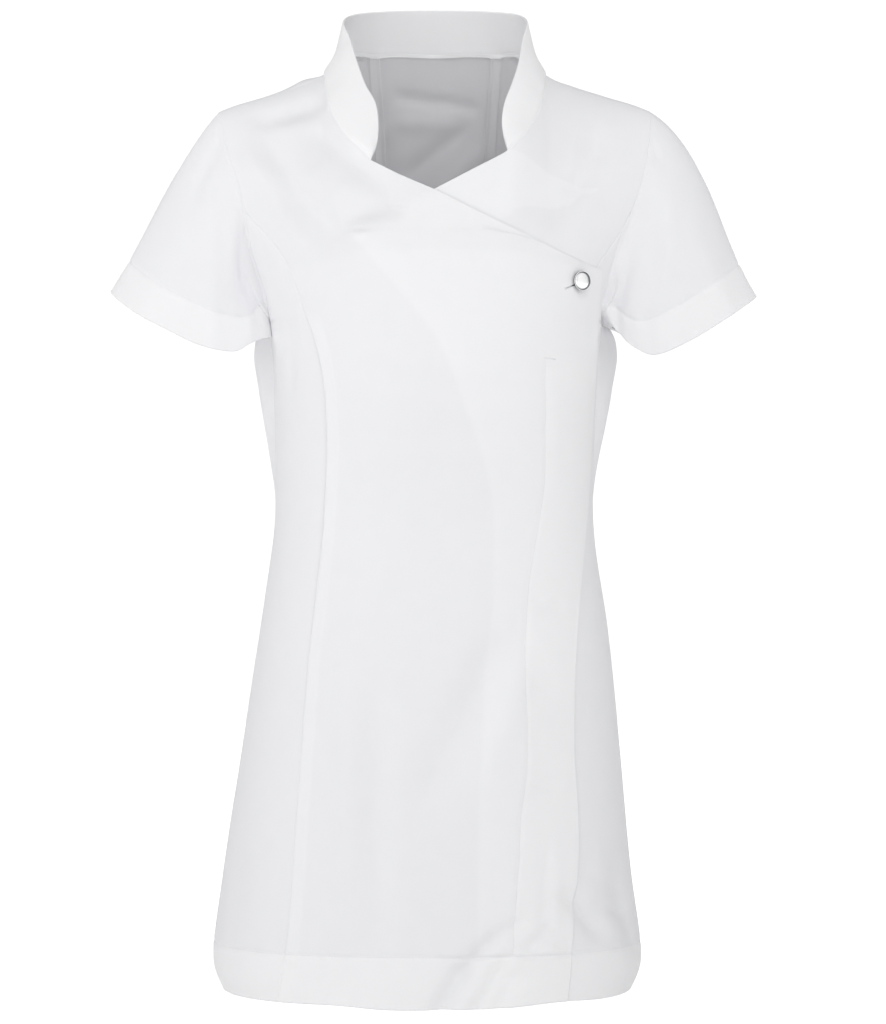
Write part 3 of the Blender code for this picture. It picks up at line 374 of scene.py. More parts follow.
# %% Seams as angles
def seam_angles(table, levels, back=False):
    """The angles at which a seam, given by heights and distances, crosses the levels."""
    rows = sorted(table, key=lambda point: point.height)
    distance = through([p.height for p in rows], [p.x for p in rows])
    x = distance(levels)
    for _ in range(SEAM_ROUNDS):
        x = x + SEAM_STEP * (distance(height_of(levels, x)) - x)
    angle = np.degrees(np.arcsin(np.clip((x - centre_x(levels)) / half_width(levels), -1.0, 1.0)))
    return np.where(angle < 0, -180.0, 180.0) - angle if back else angle


def mirrored(table):
    return [SeamPoint(p.height, -p.x) for p in table]


def side_limit(levels, armhole, sign, back=False):
    """The side seam up to the armpit, then the armhole."""
    return np.where(levels <= ARMPIT_LEVEL + 1e-6, sign * 90.0, seam_angles(armhole, levels, back))


def piecewise(levels, *parts):
    """Angles from several seams in turn: each part is (its top level, a table)."""
    angles = np.full(len(levels), np.nan)
    for top, table in parts:
        here = np.isnan(angles) & (levels <= top + 1e-6)
        angles[here] = seam_angles(table, levels[here])
    return angles


def wrap_limits(levels):
    left = piecewise(levels, (PRINCESS_TOP, PRINCESS_RIGHT), (0.0, ARMHOLE_FRONT_RIGHT))
    right = piecewise(levels, (WRAP_CORNER, WRAP_EDGE), (COLLAR_END_RIGHT, WRAP_NECKLINE), (0.0, mirrored(NECKLINE)))
    return left, right


def under_limits(levels):
    left = piecewise(levels, (UNDER_CORNER, UNDER_EDGE), (COLLAR_END_LEFT, UNDER_NECKLINE), (0.0, NECKLINE))
    right = piecewise(levels, (PRINCESS_TOP, PRINCESS_LEFT), (0.0, ARMHOLE_FRONT_LEFT))
    return left, right


def back_limits(levels):
    """Both back seams up to the neckline, then the neckline: the wearer's left, then right."""
    seam = seam_angles(BACK_SEAM, levels, back=True)
    neck_x = through([p.level for p in BACK_NECKLINE], [p.x for p in BACK_NECKLINE])(levels)
    neck = 180 - np.degrees(np.arcsin((neck_x - centre_x(levels)) / half_width(levels)))
    neck_right = 180 - np.degrees(np.arcsin((neck_x + centre_x(levels)) / half_width(levels)))
    seam_right = 360 - seam_angles(mirrored(BACK_SEAM), levels, back=True) % 360
    beside = levels >= NECK_BACK_LEVEL - 1e-6
    return np.where(beside, neck, seam), -np.where(beside, neck_right, seam_right)


# %% [markdown]
# ## Folds and creases
#
# Worn cloth is never smooth. The largest folds are also in the plain model, and the small ones are only
# here. Each is a soft ridge or trough along a line, and it dies away at both ends. A cloth simulation would
# give folds of its own, so these are placed one by one where the tunic has them.

# %% Large folds, as in the plain model
Fold = namedtuple("Fold", "angle_from level_from angle_to level_to width out")
FOLDS = [
    Fold(-50, -0.075, -24, -0.215, 0.016, -0.0035),
    Fold(-40, -0.070, -15, -0.190, 0.017, 0.0035),
    Fold(-34, -0.150, -6, -0.135, 0.014, -0.0040),
    Fold(46, -0.070, 22, -0.160, 0.015, -0.0030),
    Fold(-24, -0.870, -21, -0.640, 0.020, -0.0050),
    Fold(2, -0.850, 20, -0.765, 0.011, -0.0055),
    Fold(15, -0.850, 25, -0.790, 0.009, -0.0045),
    Fold(4, -0.600, 36, -0.490, 0.022, -0.0040),
    Fold(20, -0.690, 28, -0.540, 0.024, 0.0045),
    Fold(60, -0.700, 78, -0.800, 0.020, -0.0050),
    Fold(150, -0.330, 120, -0.450, 0.022, -0.0040),
    Fold(-150, -0.330, -120, -0.450, 0.022, -0.0040),
    Fold(176, -0.400, 180, -0.300, 0.030, -0.0035),
    Fold(148, -0.860, 152, -0.600, 0.026, -0.0050),
    Fold(-156, -0.860, -150, -0.640, 0.024, -0.0050),
    Fold(-178, -0.860, -176, -0.560, 0.030, 0.0050),
    Fold(-140, -0.090, -165, -0.190, 0.018, -0.0030),
    Fold(140, -0.090, 165, -0.190, 0.018, -0.0030),
]
FOLD_FADE = 0.3
METRES_PER_DEGREE = 0.15 * np.pi / 180


def ridge(dx, dz, run_x, run_z, width, out):
    """A soft ridge or trough along a line, fading at both ends."""
    length = np.hypot(run_x, run_z)
    along = (dx * run_x + dz * run_z) / length**2
    off = (dx * run_z - dz * run_x) / length
    ends = smooth_step(along / FOLD_FADE) * smooth_step((1 - along) / FOLD_FADE)
    return out * ends * np.exp(-((off / width) ** 2))


def angle_folds(folds, angle, level):
    """The sum of a table's folds at places given by angle and level."""
    total = 0.0
    for fold in folds:
        dx = ((angle - fold.angle_from + 180) % 360 - 180) * METRES_PER_DEGREE
        run_x = (fold.angle_to - fold.angle_from) * METRES_PER_DEGREE
        run_z = fold.level_to - fold.level_from
        total = total + ridge(dx, level - fold.level_from, run_x, run_z, fold.width, fold.out)
    return total


def fold_depth(angle, level):
    """How far the folds and the tuck behind the side seam move the cloth along its normal."""
    past_side = np.clip((np.abs(angle) - 90) / SIDE_TUCK_DEGREES, 0.0, 1.0)
    tuck = side_tuck(level) * np.sin(np.pi * past_side**SIDE_TUCK_RISE) ** 2
    return tuck + angle_folds(FOLDS, angle, level)


# %% [markdown]
# The small creases are given by their two ends on the front or back view, in metres from the centre line
# and from the shoulder, because that is how a photograph shows them.

# %% Small creases
Crease = namedtuple("Crease", "side x_from z_from x_to z_to width out")
CREASES = [
    # left chest, from the shoulder point towards the wrap
    Crease("front", -0.165, -0.041, -0.069, -0.178, 0.0125, -0.0052),
    Crease("front", -0.183, -0.054, -0.093, -0.190, 0.0120, 0.0034),
    Crease("front", -0.151, -0.054, -0.096, -0.128, 0.0080, 0.0015),
    Crease("front", -0.121, -0.044, -0.023, -0.128, 0.0105, -0.0046),
    Crease("front", -0.087, -0.139, -0.026, -0.121, 0.0085, -0.0036),
    Crease("front", -0.078, -0.156, -0.013, -0.135, 0.0090, 0.0016),
    Crease("front", -0.174, -0.048, -0.092, -0.026, 0.0085, -0.0042),
    Crease("front", -0.144, -0.056, -0.096, -0.047, 0.0080, 0.0012),
    # right chest
    Crease("front", 0.159, -0.044, 0.099, -0.156, 0.0120, -0.0044),
    Crease("front", 0.083, -0.041, 0.064, -0.140, 0.0130, 0.0022),
    Crease("front", 0.136, -0.061, 0.110, -0.124, 0.0090, 0.0012),
    # below the arm
    Crease("front", -0.125, -0.257, -0.129, -0.299, 0.0040, -0.0012),
    Crease("front", -0.134, -0.245, -0.133, -0.275, 0.0040, 0.0012),
    Crease("front", -0.118, -0.212, -0.121, -0.251, 0.0050, 0.0008),
    # skirt
    Crease("front", -0.074, -0.509, -0.078, -0.833, 0.0130, 0.0032),
    Crease("front", -0.052, -0.518, -0.048, -0.833, 0.0130, -0.0040),
    Crease("front", 0.068, -0.483, -0.026, -0.684, 0.0140, -0.0036),
    Crease("front", 0.089, -0.493, 0.029, -0.666, 0.0140, 0.0034),
    # placket
    Crease("front", 0.089, -0.484, 0.115, -0.479, 0.0050, -0.0016),
    Crease("front", 0.089, -0.474, 0.115, -0.469, 0.0050, 0.0008),
    Crease("front", 0.083, -0.551, 0.110, -0.547, 0.0050, -0.0014),
    Crease("front", 0.083, -0.637, 0.111, -0.633, 0.0050, -0.0016),
    Crease("front", 0.097, -0.668, 0.095, -0.780, 0.0050, -0.0015),
    Crease("front", 0.106, -0.671, 0.106, -0.780, 0.0050, 0.0010),
    Crease("front", 0.105, -0.260, 0.106, -0.387, 0.0035, 0.0009),
    # hem
    Crease("front", -0.006, -0.850, 0.034, -0.782, 0.0078, -0.0066),
    Crease("front", 0.012, -0.808, 0.062, -0.760, 0.0060, -0.0044),
    Crease("front", 0.036, -0.776, 0.086, -0.750, 0.0065, -0.0036),
    Crease("front", 0.026, -0.850, 0.068, -0.776, 0.0062, -0.0056),
    Crease("front", 0.010, -0.846, 0.054, -0.770, 0.0055, 0.0012),
    Crease("front", -0.020, -0.7865, 0.150, -0.7845, 0.0016, -0.0016),
    Crease("front", 0.076, -0.783, 0.106, -0.756, 0.0048, -0.0036),
    Crease("front", 0.092, -0.760, 0.124, -0.783, 0.0045, -0.0018),
    Crease("front", 0.100, -0.778, 0.116, -0.776, 0.0045, 0.0012),
    # strip beside the wrap's edge
    Crease("front", 0.108, -0.722, 0.156, -0.780, 0.0085, -0.0056),
    Crease("front", 0.136, -0.743, 0.180, -0.757, 0.0060, -0.0020),
    Crease("front", 0.136, -0.697, 0.171, -0.736, 0.0080, 0.0018),
    # side
    Crease("front", -0.168, -0.649, -0.183, -0.824, 0.0100, -0.0015),
    # the back, which no photograph shows: drags from the shoulder blades, the waist, soft flutes below
    Crease("back", 0.075, -0.060, 0.135, -0.215, 0.0120, -0.0024),
    Crease("back", 0.055, -0.070, 0.105, -0.225, 0.0120, 0.0018),
    Crease("back", -0.070, -0.065, -0.130, -0.200, 0.0120, -0.0022),
    Crease("back", -0.050, -0.080, -0.100, -0.230, 0.0130, 0.0016),
    Crease("back", 0.010, -0.425, 0.105, -0.395, 0.0090, -0.0016),
    Crease("back", -0.100, -0.390, -0.005, -0.430, 0.0100, -0.0018),
    Crease("back", -0.060, -0.360, 0.060, -0.375, 0.0120, 0.0016),
    Crease("back", 0.045, -0.580, 0.058, -0.860, 0.0130, -0.0028),
    Crease("back", 0.085, -0.600, 0.100, -0.860, 0.0120, 0.0022),
    Crease("back", -0.025, -0.560, -0.032, -0.860, 0.0140, 0.0024),
    Crease("back", -0.070, -0.600, -0.080, -0.860, 0.0110, -0.0026),
    Crease("back", -0.110, -0.560, -0.130, -0.860, 0.0120, 0.0018),
    Crease("back", 0.125, -0.640, 0.150, -0.860, 0.0100, -0.0020),
    # the back behind the neck, drawn as the neck opening shows it
    Crease("back", -0.046, -0.008, 0.012, -0.017, 0.0050, 0.0026),
    Crease("back", -0.004, -0.013, 0.046, -0.022, 0.0045, 0.0024),
    Crease("back", -0.050, -0.032, 0.030, -0.036, 0.0070, -0.0018),
    Crease("back", 0.034, -0.034, -0.036, -0.090, 0.0075, 0.0027),
    Crease("back", 0.054, -0.052, -0.010, -0.106, 0.0085, -0.0022),
    Crease("back", -0.046, -0.040, -0.044, -0.100, 0.0080, 0.0014),
]
SIDE_CREASES = [
    Fold(88, -0.224, 89.5, -0.345, 0.0034, -0.0045),
    Fold(94, -0.215, 95, -0.380, 0.0030, 0.0006),
    Fold(109, -0.200, 112, -0.460, 0.0045, -0.0020),
    Fold(-92, -0.240, -93, -0.350, 0.0030, -0.0014),
    Fold(-95, -0.215, -96, -0.390, 0.0030, 0.0006),
    Fold(-108, -0.190, -111, -0.430, 0.0045, -0.0020),
]
CREASE_EASE = 0.020


def crease_depth(side, base):
    """How far the small creases move the cloth, at places of the figure; none cross a side seam."""
    total = np.zeros(base.shape[:-1])
    for crease in CREASES:
        if crease.side == side:
            dx, dz = base[..., 0] - crease.x_from, base[..., 2] - crease.z_from
            run_x, run_z = crease.x_to - crease.x_from, crease.z_to - crease.z_from
            total = total + ridge(dx, dz, run_x, run_z, crease.width, crease.out)
    return total * smooth_step(np.abs(base[..., 1]) / CREASE_EASE)


# %% [markdown]
# Between the folds the cloth is still a little uneven, and a line of stitches always gathers it slightly.
# Both come from one table of random numbers with a fixed seed, read smoothly.

# %% Unevenness
NOISE_SIZE = 64
noise_table = np.random.RandomState(7).uniform(-1.0, 1.0, (NOISE_SIZE, NOISE_SIZE))


def unevenness(x, y):
    """Smooth noise between -1 and 1 with features about one unit across."""
    x, y = np.broadcast_arrays(np.asarray(x, float), np.asarray(y, float))
    i, j = np.floor(x).astype(int), np.floor(y).astype(int)
    u, v = smooth_step(x - i), smooth_step(y - j)
    corner = [[noise_table[(i + a) % NOISE_SIZE, (j + b) % NOISE_SIZE] for b in (0, 1)] for a in (0, 1)]
    low = corner[0][0] * (1 - u) + corner[1][0] * u
    high = corner[0][1] * (1 - u) + corner[1][1] * u
    return low * (1 - v) + high * v


SOFT_UNEVENNESS = 0.00030
HEM_CURL, HEM_CURL_REACH = 0.0075, 0.030


def hem_rise(base, level):
    """How far the hem's edge is drawn up: least at the centre, most below the wrap's corner."""
    x = base[..., 0]
    rise = 0.0020 + 0.0032 * smooth_step((np.abs(x) - 0.03) / 0.07) + 0.0016 * np.exp(-(((x - 0.112) / 0.022) ** 2))
    return rise * smooth_step((HEM_LEVEL + 0.050 - level) / 0.050)


def figure_relief(side, angle, level, base):
    """All the folds, creases and unevenness of the cloth at a place, whichever piece lies there."""
    x, y, z = np.moveaxis(base, -1, 0)
    soft = SOFT_UNEVENNESS * unevenness(x / 0.035 + y / 0.05, z / 0.045)
    curl = HEM_CURL * np.clip((HEM_LEVEL + HEM_CURL_REACH - level) / HEM_CURL_REACH, 0.0, 1.0) ** 2
    folds = fold_depth(angle, level) + angle_folds(SIDE_CREASES, angle, level) + crease_depth(side, base)
    return folds + soft - curl * np.sin(np.radians(angle)) ** 4


# %% [markdown]
# ## One cut piece of cloth
#
# A piece is a fine grid between two seams. Columns stand at even distances, with a few extra ones beside
# each edge and each stitch line, because that is where cloth bends sharply. The grid keeps how far each
# point is from every edge, so that seams, hems and facings can be pressed into it.

# %% Rows and columns of a piece
ROW_STEP = 0.0038
COLUMN_STEP = 0.0038
EDGE_STEPS = np.array([0.0, 0.0005, 0.0011, 0.0019, 0.0030, 0.0046])
LINE_STEPS = np.array([-0.0034, -0.0019, -0.0009, 0.0, 0.0009, 0.0019, 0.0034])
SHOULDER_SPREAD = 0.080
SHOULDER_STEPS = np.concatenate([EDGE_STEPS, np.arange(0.0075, 0.036, 0.0042)])
WIDTH_SAMPLES = 97
MOST_SLANT = 3.5
HEM_DEPTH = 0.0475
FACING_WIDTH = 0.0500
Facing = namedtuple("Facing", "level width")
FACING = [
    Facing(-0.8320, 0.0547),
    Facing(-0.7802, 0.0551),
    Facing(-0.7102, 0.0580),
    Facing(-0.6577, 0.0568),
    Facing(-0.6227, 0.0495),
    Facing(-0.5527, 0.0505),
    Facing(-0.4740, 0.0551),
    Facing(-0.4259, 0.0584),
    Facing(-0.3865, 0.0656),
    Facing(-0.3165, 0.0771),
    Facing(-0.2614, 0.0855),
    Facing(-0.2121, 0.0752),
    Facing(-0.1763, 0.0680),
    Facing(-0.1400, 0.0500),
]
facing_width = column(FACING, "width", "level")
PLACKET_LINES = np.concatenate([np.arange(0.009, 0.046, 0.004), FACING_WIDTH + LINE_STEPS])
ALLOWANCE_LINES = np.array([0.0075, 0.0100, 0.0115, 0.0130, 0.0150])


def row_levels(low, high, corners=()):
    """Levels from low to high, closer beside both ends, at the hem's stitches and on each corner."""
    if high == 0.0:
        top = -SHOULDER_ROUND / 2 * (SHOULDER_STEPS / SHOULDER_SPREAD) ** 2
    else:
        top = high - EDGE_STEPS
    kept = np.concatenate([low + EDGE_STEPS, low + HEM_DEPTH + LINE_STEPS, top, list(corners)])
    even = np.arange(low, high, ROW_STEP)
    apart = np.abs(even[:, None] - kept[None, :]).min(axis=1)
    return np.unique(np.round(np.concatenate([even[apart > 0.4 * ROW_STEP], kept]), 7))


def slant_of(edge, across):
    """How much longer a distance along a row is than the true distance from a slanting edge."""
    run = unit(np.gradient(edge, axis=0))
    turn = np.linalg.norm(np.cross(run, unit(across)), axis=-1)
    return np.clip(1 / np.maximum(turn, 1e-3), 1.0, MOST_SLANT)


def beside_edge(slant, lines, spread=1.0):
    """Distances of the fixed columns from an edge: close steps, then the columns of its lines."""
    near = EDGE_STEPS * slant
    if len(lines) == 0:
        return near
    share = (lines - EDGE_STEPS[-1]) / (lines[-1] - EDGE_STEPS[-1])
    return np.concatenate([near, near[-1] + share * (lines[-1] * spread - near[-1])])


class Piece:
    """A cut piece of the body as a grid of places on the skin."""

    def __init__(self, name, side, limits, levels, lift=None, left_lines=(), right_lines=(), right_spread=None):
        self.name, self.side, self.levels = name, side, levels
        spread = np.ones(len(levels)) if right_spread is None else right_spread
        left, right = limits
        share = np.linspace(0.0, 1.0, WIDTH_SAMPLES)
        sampled = left[:, None] + (right - left)[:, None] * share
        base = base_skin(sampled, levels[:, None])
        steps = np.linalg.norm(np.diff(base, axis=1), axis=2)
        along = np.concatenate([np.zeros((len(levels), 1)), np.cumsum(steps, axis=1)], axis=1)
        width = along[:, -1]
        slant_left = slant_of(base[:, 0], base[:, 1] - base[:, 0])
        slant_right = slant_of(base[:, -1], base[:, -1] - base[:, -2])
        fixed = sum(lines[-1] if len(lines) else EDGE_STEPS[-1] for lines in (left_lines, right_lines))
        count = max(int((width.max() - fixed) / COLUMN_STEP), 6)
        angles, places = [], []
        for j in range(len(levels)):
            near, far = beside_edge(slant_left[j], left_lines), beside_edge(slant_right[j], right_lines, spread[j])
            squeeze = min(1.0, 0.75 * width[j] / (near[-1] + far[-1]))
            near, far = near * squeeze, width[j] - far * squeeze
            middle = np.linspace(near[-1], far[-1], count + 1)[1:-1]
            place = np.concatenate([near, middle, far[::-1]])
            angles.append(left[j] + (right[j] - left[j]) * np.interp(place, along[j], share))
            places.append(place)
        self.angles, self.from_left = np.array(angles), np.array(places)
        self.grid_levels = np.repeat(levels[:, None], self.angles.shape[1], axis=1)
        self.base = base_skin(self.angles, self.grid_levels)
        self.normals = skin_normal(self.angles, self.grid_levels)
        self.left = self.from_left / slant_left[:, None]
        self.right = (width[:, None] - self.from_left) / slant_right[:, None]
        climbs = np.linalg.norm(np.diff(self.base, axis=0), axis=2)
        self.bottom = np.concatenate([np.zeros((1, climbs.shape[1])), np.cumsum(climbs, axis=0)])
        self.top = self.bottom[-1:] - self.bottom
        self.grain = np.stack([self.from_left - width[:, None] / 2, self.grid_levels], axis=-1)
        self.lift = 0.0 if lift is None else lift(self.base, self.grid_levels)
        self.size = (float(width.max()), float(self.bottom[-1].max()))
        self.area = float((np.diff(self.from_left, axis=1)[:-1] * climbs[:, :-1]).sum())


# %% [markdown]
# ## Seams, hems and facings pressed into the cloth
#
# At a seam both pieces turn inwards, so a seam shows as a fine groove. Where the allowance is pressed to
# one side, the cloth above it stands a little higher. A hem is turned up inside and held by one line of
# stitches, which sinks in and puckers the cloth beside it.

# %% Relief
CLOTH = 0.0005
SEAM_DIP, SEAM_ROLL = 0.00035, 0.0016
ALLOWANCE_RISE, ALLOWANCE_WIDTH, ALLOWANCE_FADE = 0.00055, 0.0110, 0.0030
STITCH_DIP, STITCH_WIDTH = 0.00075, 0.0015
PUCKER_LENGTH, PUCKER_REACH = 0.0075, 0.0075


def seam_groove(distance):
    return -SEAM_DIP * (1 - smooth_step(distance / SEAM_ROLL))


def pressed_allowance(distance):
    """1 above a seam allowance that is pressed flat, 0 beyond it."""
    return 1 - smooth_step((distance - ALLOWANCE_WIDTH) / ALLOWANCE_FADE)


def stitch_groove(distance, along, seed, pucker=0.0008):
    """A sunk line of stitches with small puckers across it; distance is measured from the line."""
    dip = -STITCH_DIP * np.exp(-((distance / STITCH_WIDTH) ** 2))
    gathers = unevenness(along / PUCKER_LENGTH + distance / 0.02, seed + 0.37)
    return dip + pucker * gathers * np.exp(-((distance / PUCKER_REACH) ** 2))


def seam_pucker(distance, along, seed, depth=0.0005, length=0.011, reach=0.008):
    """Small gathers that run away from a seam."""
    share = smooth_step(distance / 0.004) * np.exp(-distance / reach)
    return depth * share * unevenness(along / length + 0.3 * distance / reach, seed + 0.61)


def facing_band(distance, width=FACING_WIDTH):
    """1 on the folded edge's facing, 0 beyond its stitches."""
    return 1 - smooth_step((distance - width) / 0.0015)


# %% [markdown]
# ## From grid to cloth
#
# The outer face of the grid is copied inwards by the cloth's thickness, and the two are joined round the
# edge. A folded edge gets a row of points that stands out halfway, so that it is round and not square.

# %% A thin shell from a grid
Cloth = namedtuple("Cloth", "points faces layers grain")


def border_of(rows, columns, ring):
    """Grid places round the edge, in order: one loop, or two where the grid is a ring."""
    if ring:
        return [[(0, i) for i in range(columns)], [(rows - 1, i) for i in range(columns)]]
    bottom = [(0, i) for i in range(columns - 1)]
    right = [(j, columns - 1) for j in range(rows - 1)]
    top = [(rows - 1, i) for i in range(columns - 1, 0, -1)]
    left = [(j, 0) for j in range(rows - 1, 0, -1)]
    return [bottom + right + top + left]


def shell(outer, normals, thickness, layers, grain, ring=False):
    """A closed thin sheet from a grid of outer points."""
    rows, columns = outer.shape[:2]
    thickness, layers = np.broadcast_to(thickness, (rows, columns)), np.broadcast_to(layers, (rows, columns))
    inner = outer - normals * thickness[..., None]
    index = np.arange(rows * columns).reshape(rows, columns)
    wrapped = np.concatenate([index, index[:, :1]], axis=1) if ring else index
    a, b = wrapped[:-1, :-1].ravel(), wrapped[:-1, 1:].ravel()
    c, d = wrapped[1:, 1:].ravel(), wrapped[1:, :-1].ravel()
    inside = rows * columns
    faces = [np.stack([a, b, c, d], axis=1), np.stack([d, c, b, a], axis=1) + inside]
    points = [outer.reshape(-1, 3), inner.reshape(-1, 3)]
    shades, flat = [layers.ravel()] * 2, [grain.reshape(-1, 2)] * 2
    made = 2 * inside
    for k, loop in enumerate(border_of(rows, columns, ring)):
        j, i = np.array(loop).T
        back_i = i if ring else np.clip(i, 1, columns - 2)
        outwards = unit(outer[j, i] - outer[np.clip(j, 1, rows - 2), back_i])
        points.append((outer[j, i] + inner[j, i]) / 2 + outwards * thickness[j, i][:, None] / 2)
        shades.append(layers[j, i])
        flat.append(grain[j, i])
        start, rim = index[j, i], made + np.arange(len(loop))
        for low, high in ((start, rim), (rim, start + inside)):
            strip = np.stack([low, high, np.roll(high, -1), np.roll(low, -1)], axis=1)
            faces.append(strip[:, ::-1] if ring and k == 1 else strip)
        made += len(loop)
    return Cloth(np.concatenate(points), np.concatenate(faces), np.concatenate(shades), np.concatenate(flat))


def cloth_object(name, cloths, finish):
    """One object from one or more shells, with its grain as a UV map and its layers as an attribute."""
    starts = np.cumsum([0] + [len(cloth.points) for cloth in cloths])
    points = np.concatenate([cloth.points for cloth in cloths])
    faces = np.concatenate([cloth.faces + start for cloth, start in zip(cloths, starts)])
    mesh = bpy.data.meshes.new(name)
    mesh.from_pydata(points.tolist(), [], faces.tolist())
    mesh.polygons.foreach_set("use_smooth", np.ones(len(mesh.polygons), bool))
    layers = np.clip(np.concatenate([cloth.layers for cloth in cloths]), 0.0, 1.0)
    mesh.attributes.new("layers", "FLOAT", "POINT").data.foreach_set("value", layers)
    corner = np.empty(len(mesh.loops), int)
    mesh.loops.foreach_get("vertex_index", corner)
    grain = np.concatenate([cloth.grain for cloth in cloths])
    mesh.uv_layers.new(name="grain").uv.foreach_set("vector", grain[corner].ravel())
    mesh.materials.append(finish)
    mesh.update()
    made = bpy.data.objects.new(name, mesh)
    bpy.context.scene.collection.objects.link(made)
    return made


def sewn(made, node, size, area):
    """Attaches a finished piece of cloth to the frame, hides its solid in the plain model, and prints the cut that it
    is made from.
    """
    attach(made, "root")
    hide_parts(node)
    across, down = (round(length * 1000) for length in size)
    print(f"{node}: {len(made.data.polygons)} faces, cut {across} x {down} mm, {area:.4f} m2")


# %% [markdown]
# ## Seam allowances
#
# Inside, each seam leaves a strip of both pieces' edges, neatened together with overlocking and pressed to
# one side. Its free edge is never flat: the overlock thread stretches it into small waves.

# %% Strips inside a seam
ALLOWANCE_STEPS = np.array([0.0006, 0.0022, 0.0045, 0.0070, 0.0090, 0.0100])
ALLOWANCE_CLOTH = 0.0009
ALLOWANCE_CURL = 0.0016
OVERLOCKS = []


def rows_at(distance, places, grid):
    """The grid's values where a distance, which grows along each row, reaches the given places."""
    rows = [[np.interp(places, d, g[:, k]) for k in range(grid.shape[-1])] for d, g in zip(distance, grid)]
    return np.array(rows).transpose(0, 2, 1)


def allowance(points, normals, distance, wall, grain, seed):
    """A strip behind the cloth, along the edge where the distance is 0, and its overlocked edge."""
    inner = points - normals * wall[..., None]
    if distance[0, 0] > distance[0, -1]:
        inner, normals, distance, grain = (a[:, ::-1] for a in (inner, normals, distance, grain))
        flipped = True
    else:
        flipped = False
    laid, facing = rows_at(distance, ALLOWANCE_STEPS, inner), unit(rows_at(distance, ALLOWANCE_STEPS, normals))
    level = rows_at(distance, ALLOWANCE_STEPS, grain)
    waves = 0.5 + 0.5 * unevenness(level[..., 1] / 0.012, seed)
    curl = 0.0003 + ALLOWANCE_CURL * waves * (ALLOWANCE_STEPS / ALLOWANCE_STEPS[-1]) ** 3
    laid = laid - facing * curl[..., None]
    OVERLOCKS.append((laid - facing * ALLOWANCE_CLOTH, -facing))
    if flipped:
        laid, facing, level = laid[:, ::-1], facing[:, ::-1], level[:, ::-1]
    return shell(laid, facing, ALLOWANCE_CLOTH, 1.0, level)


# %% [markdown]
# ## The cloth's finish
#
# Work tunics are woven from polyester and cotton in a fine twill, pressed smooth: matt, very white, with a
# faint sheen where it turns away. The weave is a shader group, because cloth and thread both use it.

# %% Twill weave group
def group_socket(tree, name, direction, kind, value=None):
    made = tree.interface.new_socket(name=name, in_out=direction, socket_type=kind)
    if value is not None:
        made.default_value = value
    return made


def twill_group():
    tree = bpy.data.node_groups.new("twill weave", "ShaderNodeTree")
    group_socket(tree, "Grain", "INPUT", "NodeSocketVector")
    group_socket(tree, "Place", "INPUT", "NodeSocketVector")
    group_socket(tree, "Threads per Metre", "INPUT", "NodeSocketFloat", 12600.0)
    group_socket(tree, "Light Colour", "INPUT", "NodeSocketColor", (0.9, 0.9, 0.92, 1.0))
    group_socket(tree, "Dark Colour", "INPUT", "NodeSocketColor", (0.8, 0.8, 0.83, 1.0))
    group_socket(tree, "Colour", "OUTPUT", "NodeSocketColor")
    group_socket(tree, "Height", "OUTPUT", "NodeSocketFloat")
    nodes, links = tree.nodes, tree.links
    source = nodes.new("NodeGroupInput")
    target = nodes.new("NodeGroupOutput")
    lines = nodes.new("ShaderNodeVectorMath")
    lines.operation = "DOT_PRODUCT"
    lines.inputs[1].default_value = (0.83, 0.56, 0.0)
    links.new(source.outputs["Grain"], lines.inputs[0])
    scaled = nodes.new("ShaderNodeMath")
    scaled.operation = "MULTIPLY"
    links.new(lines.outputs["Value"], scaled.inputs[0])
    links.new(source.outputs["Threads per Metre"], scaled.inputs[1])
    waves = nodes.new("ShaderNodeMath")
    waves.operation = "SINE"
    links.new(scaled.outputs[0], waves.inputs[0])
    worn = nodes.new("ShaderNodeTexNoise")
    worn.inputs["Scale"].default_value = 55.0
    worn.inputs["Detail"].default_value = 4.0
    links.new(source.outputs["Place"], worn.inputs["Vector"])
    shade = nodes.new("ShaderNodeMapRange")
    shade.inputs["From Min"].default_value = 0.3
    shade.inputs["From Max"].default_value = 0.7
    links.new(worn.outputs["Fac"], shade.inputs["Value"])
    mix = nodes.new("ShaderNodeMix")
    mix.data_type = "RGBA"
    links.new(shade.outputs["Result"], mix.inputs["Factor"])
    links.new(source.outputs["Dark Colour"], mix.inputs["A"])
    links.new(source.outputs["Light Colour"], mix.inputs["B"])
    links.new(mix.outputs["Result"], target.inputs["Colour"])
    links.new(waves.outputs[0], target.inputs["Height"])
    return tree


weave = twill_group()
print("weave group made with", len(weave.nodes), "nodes")

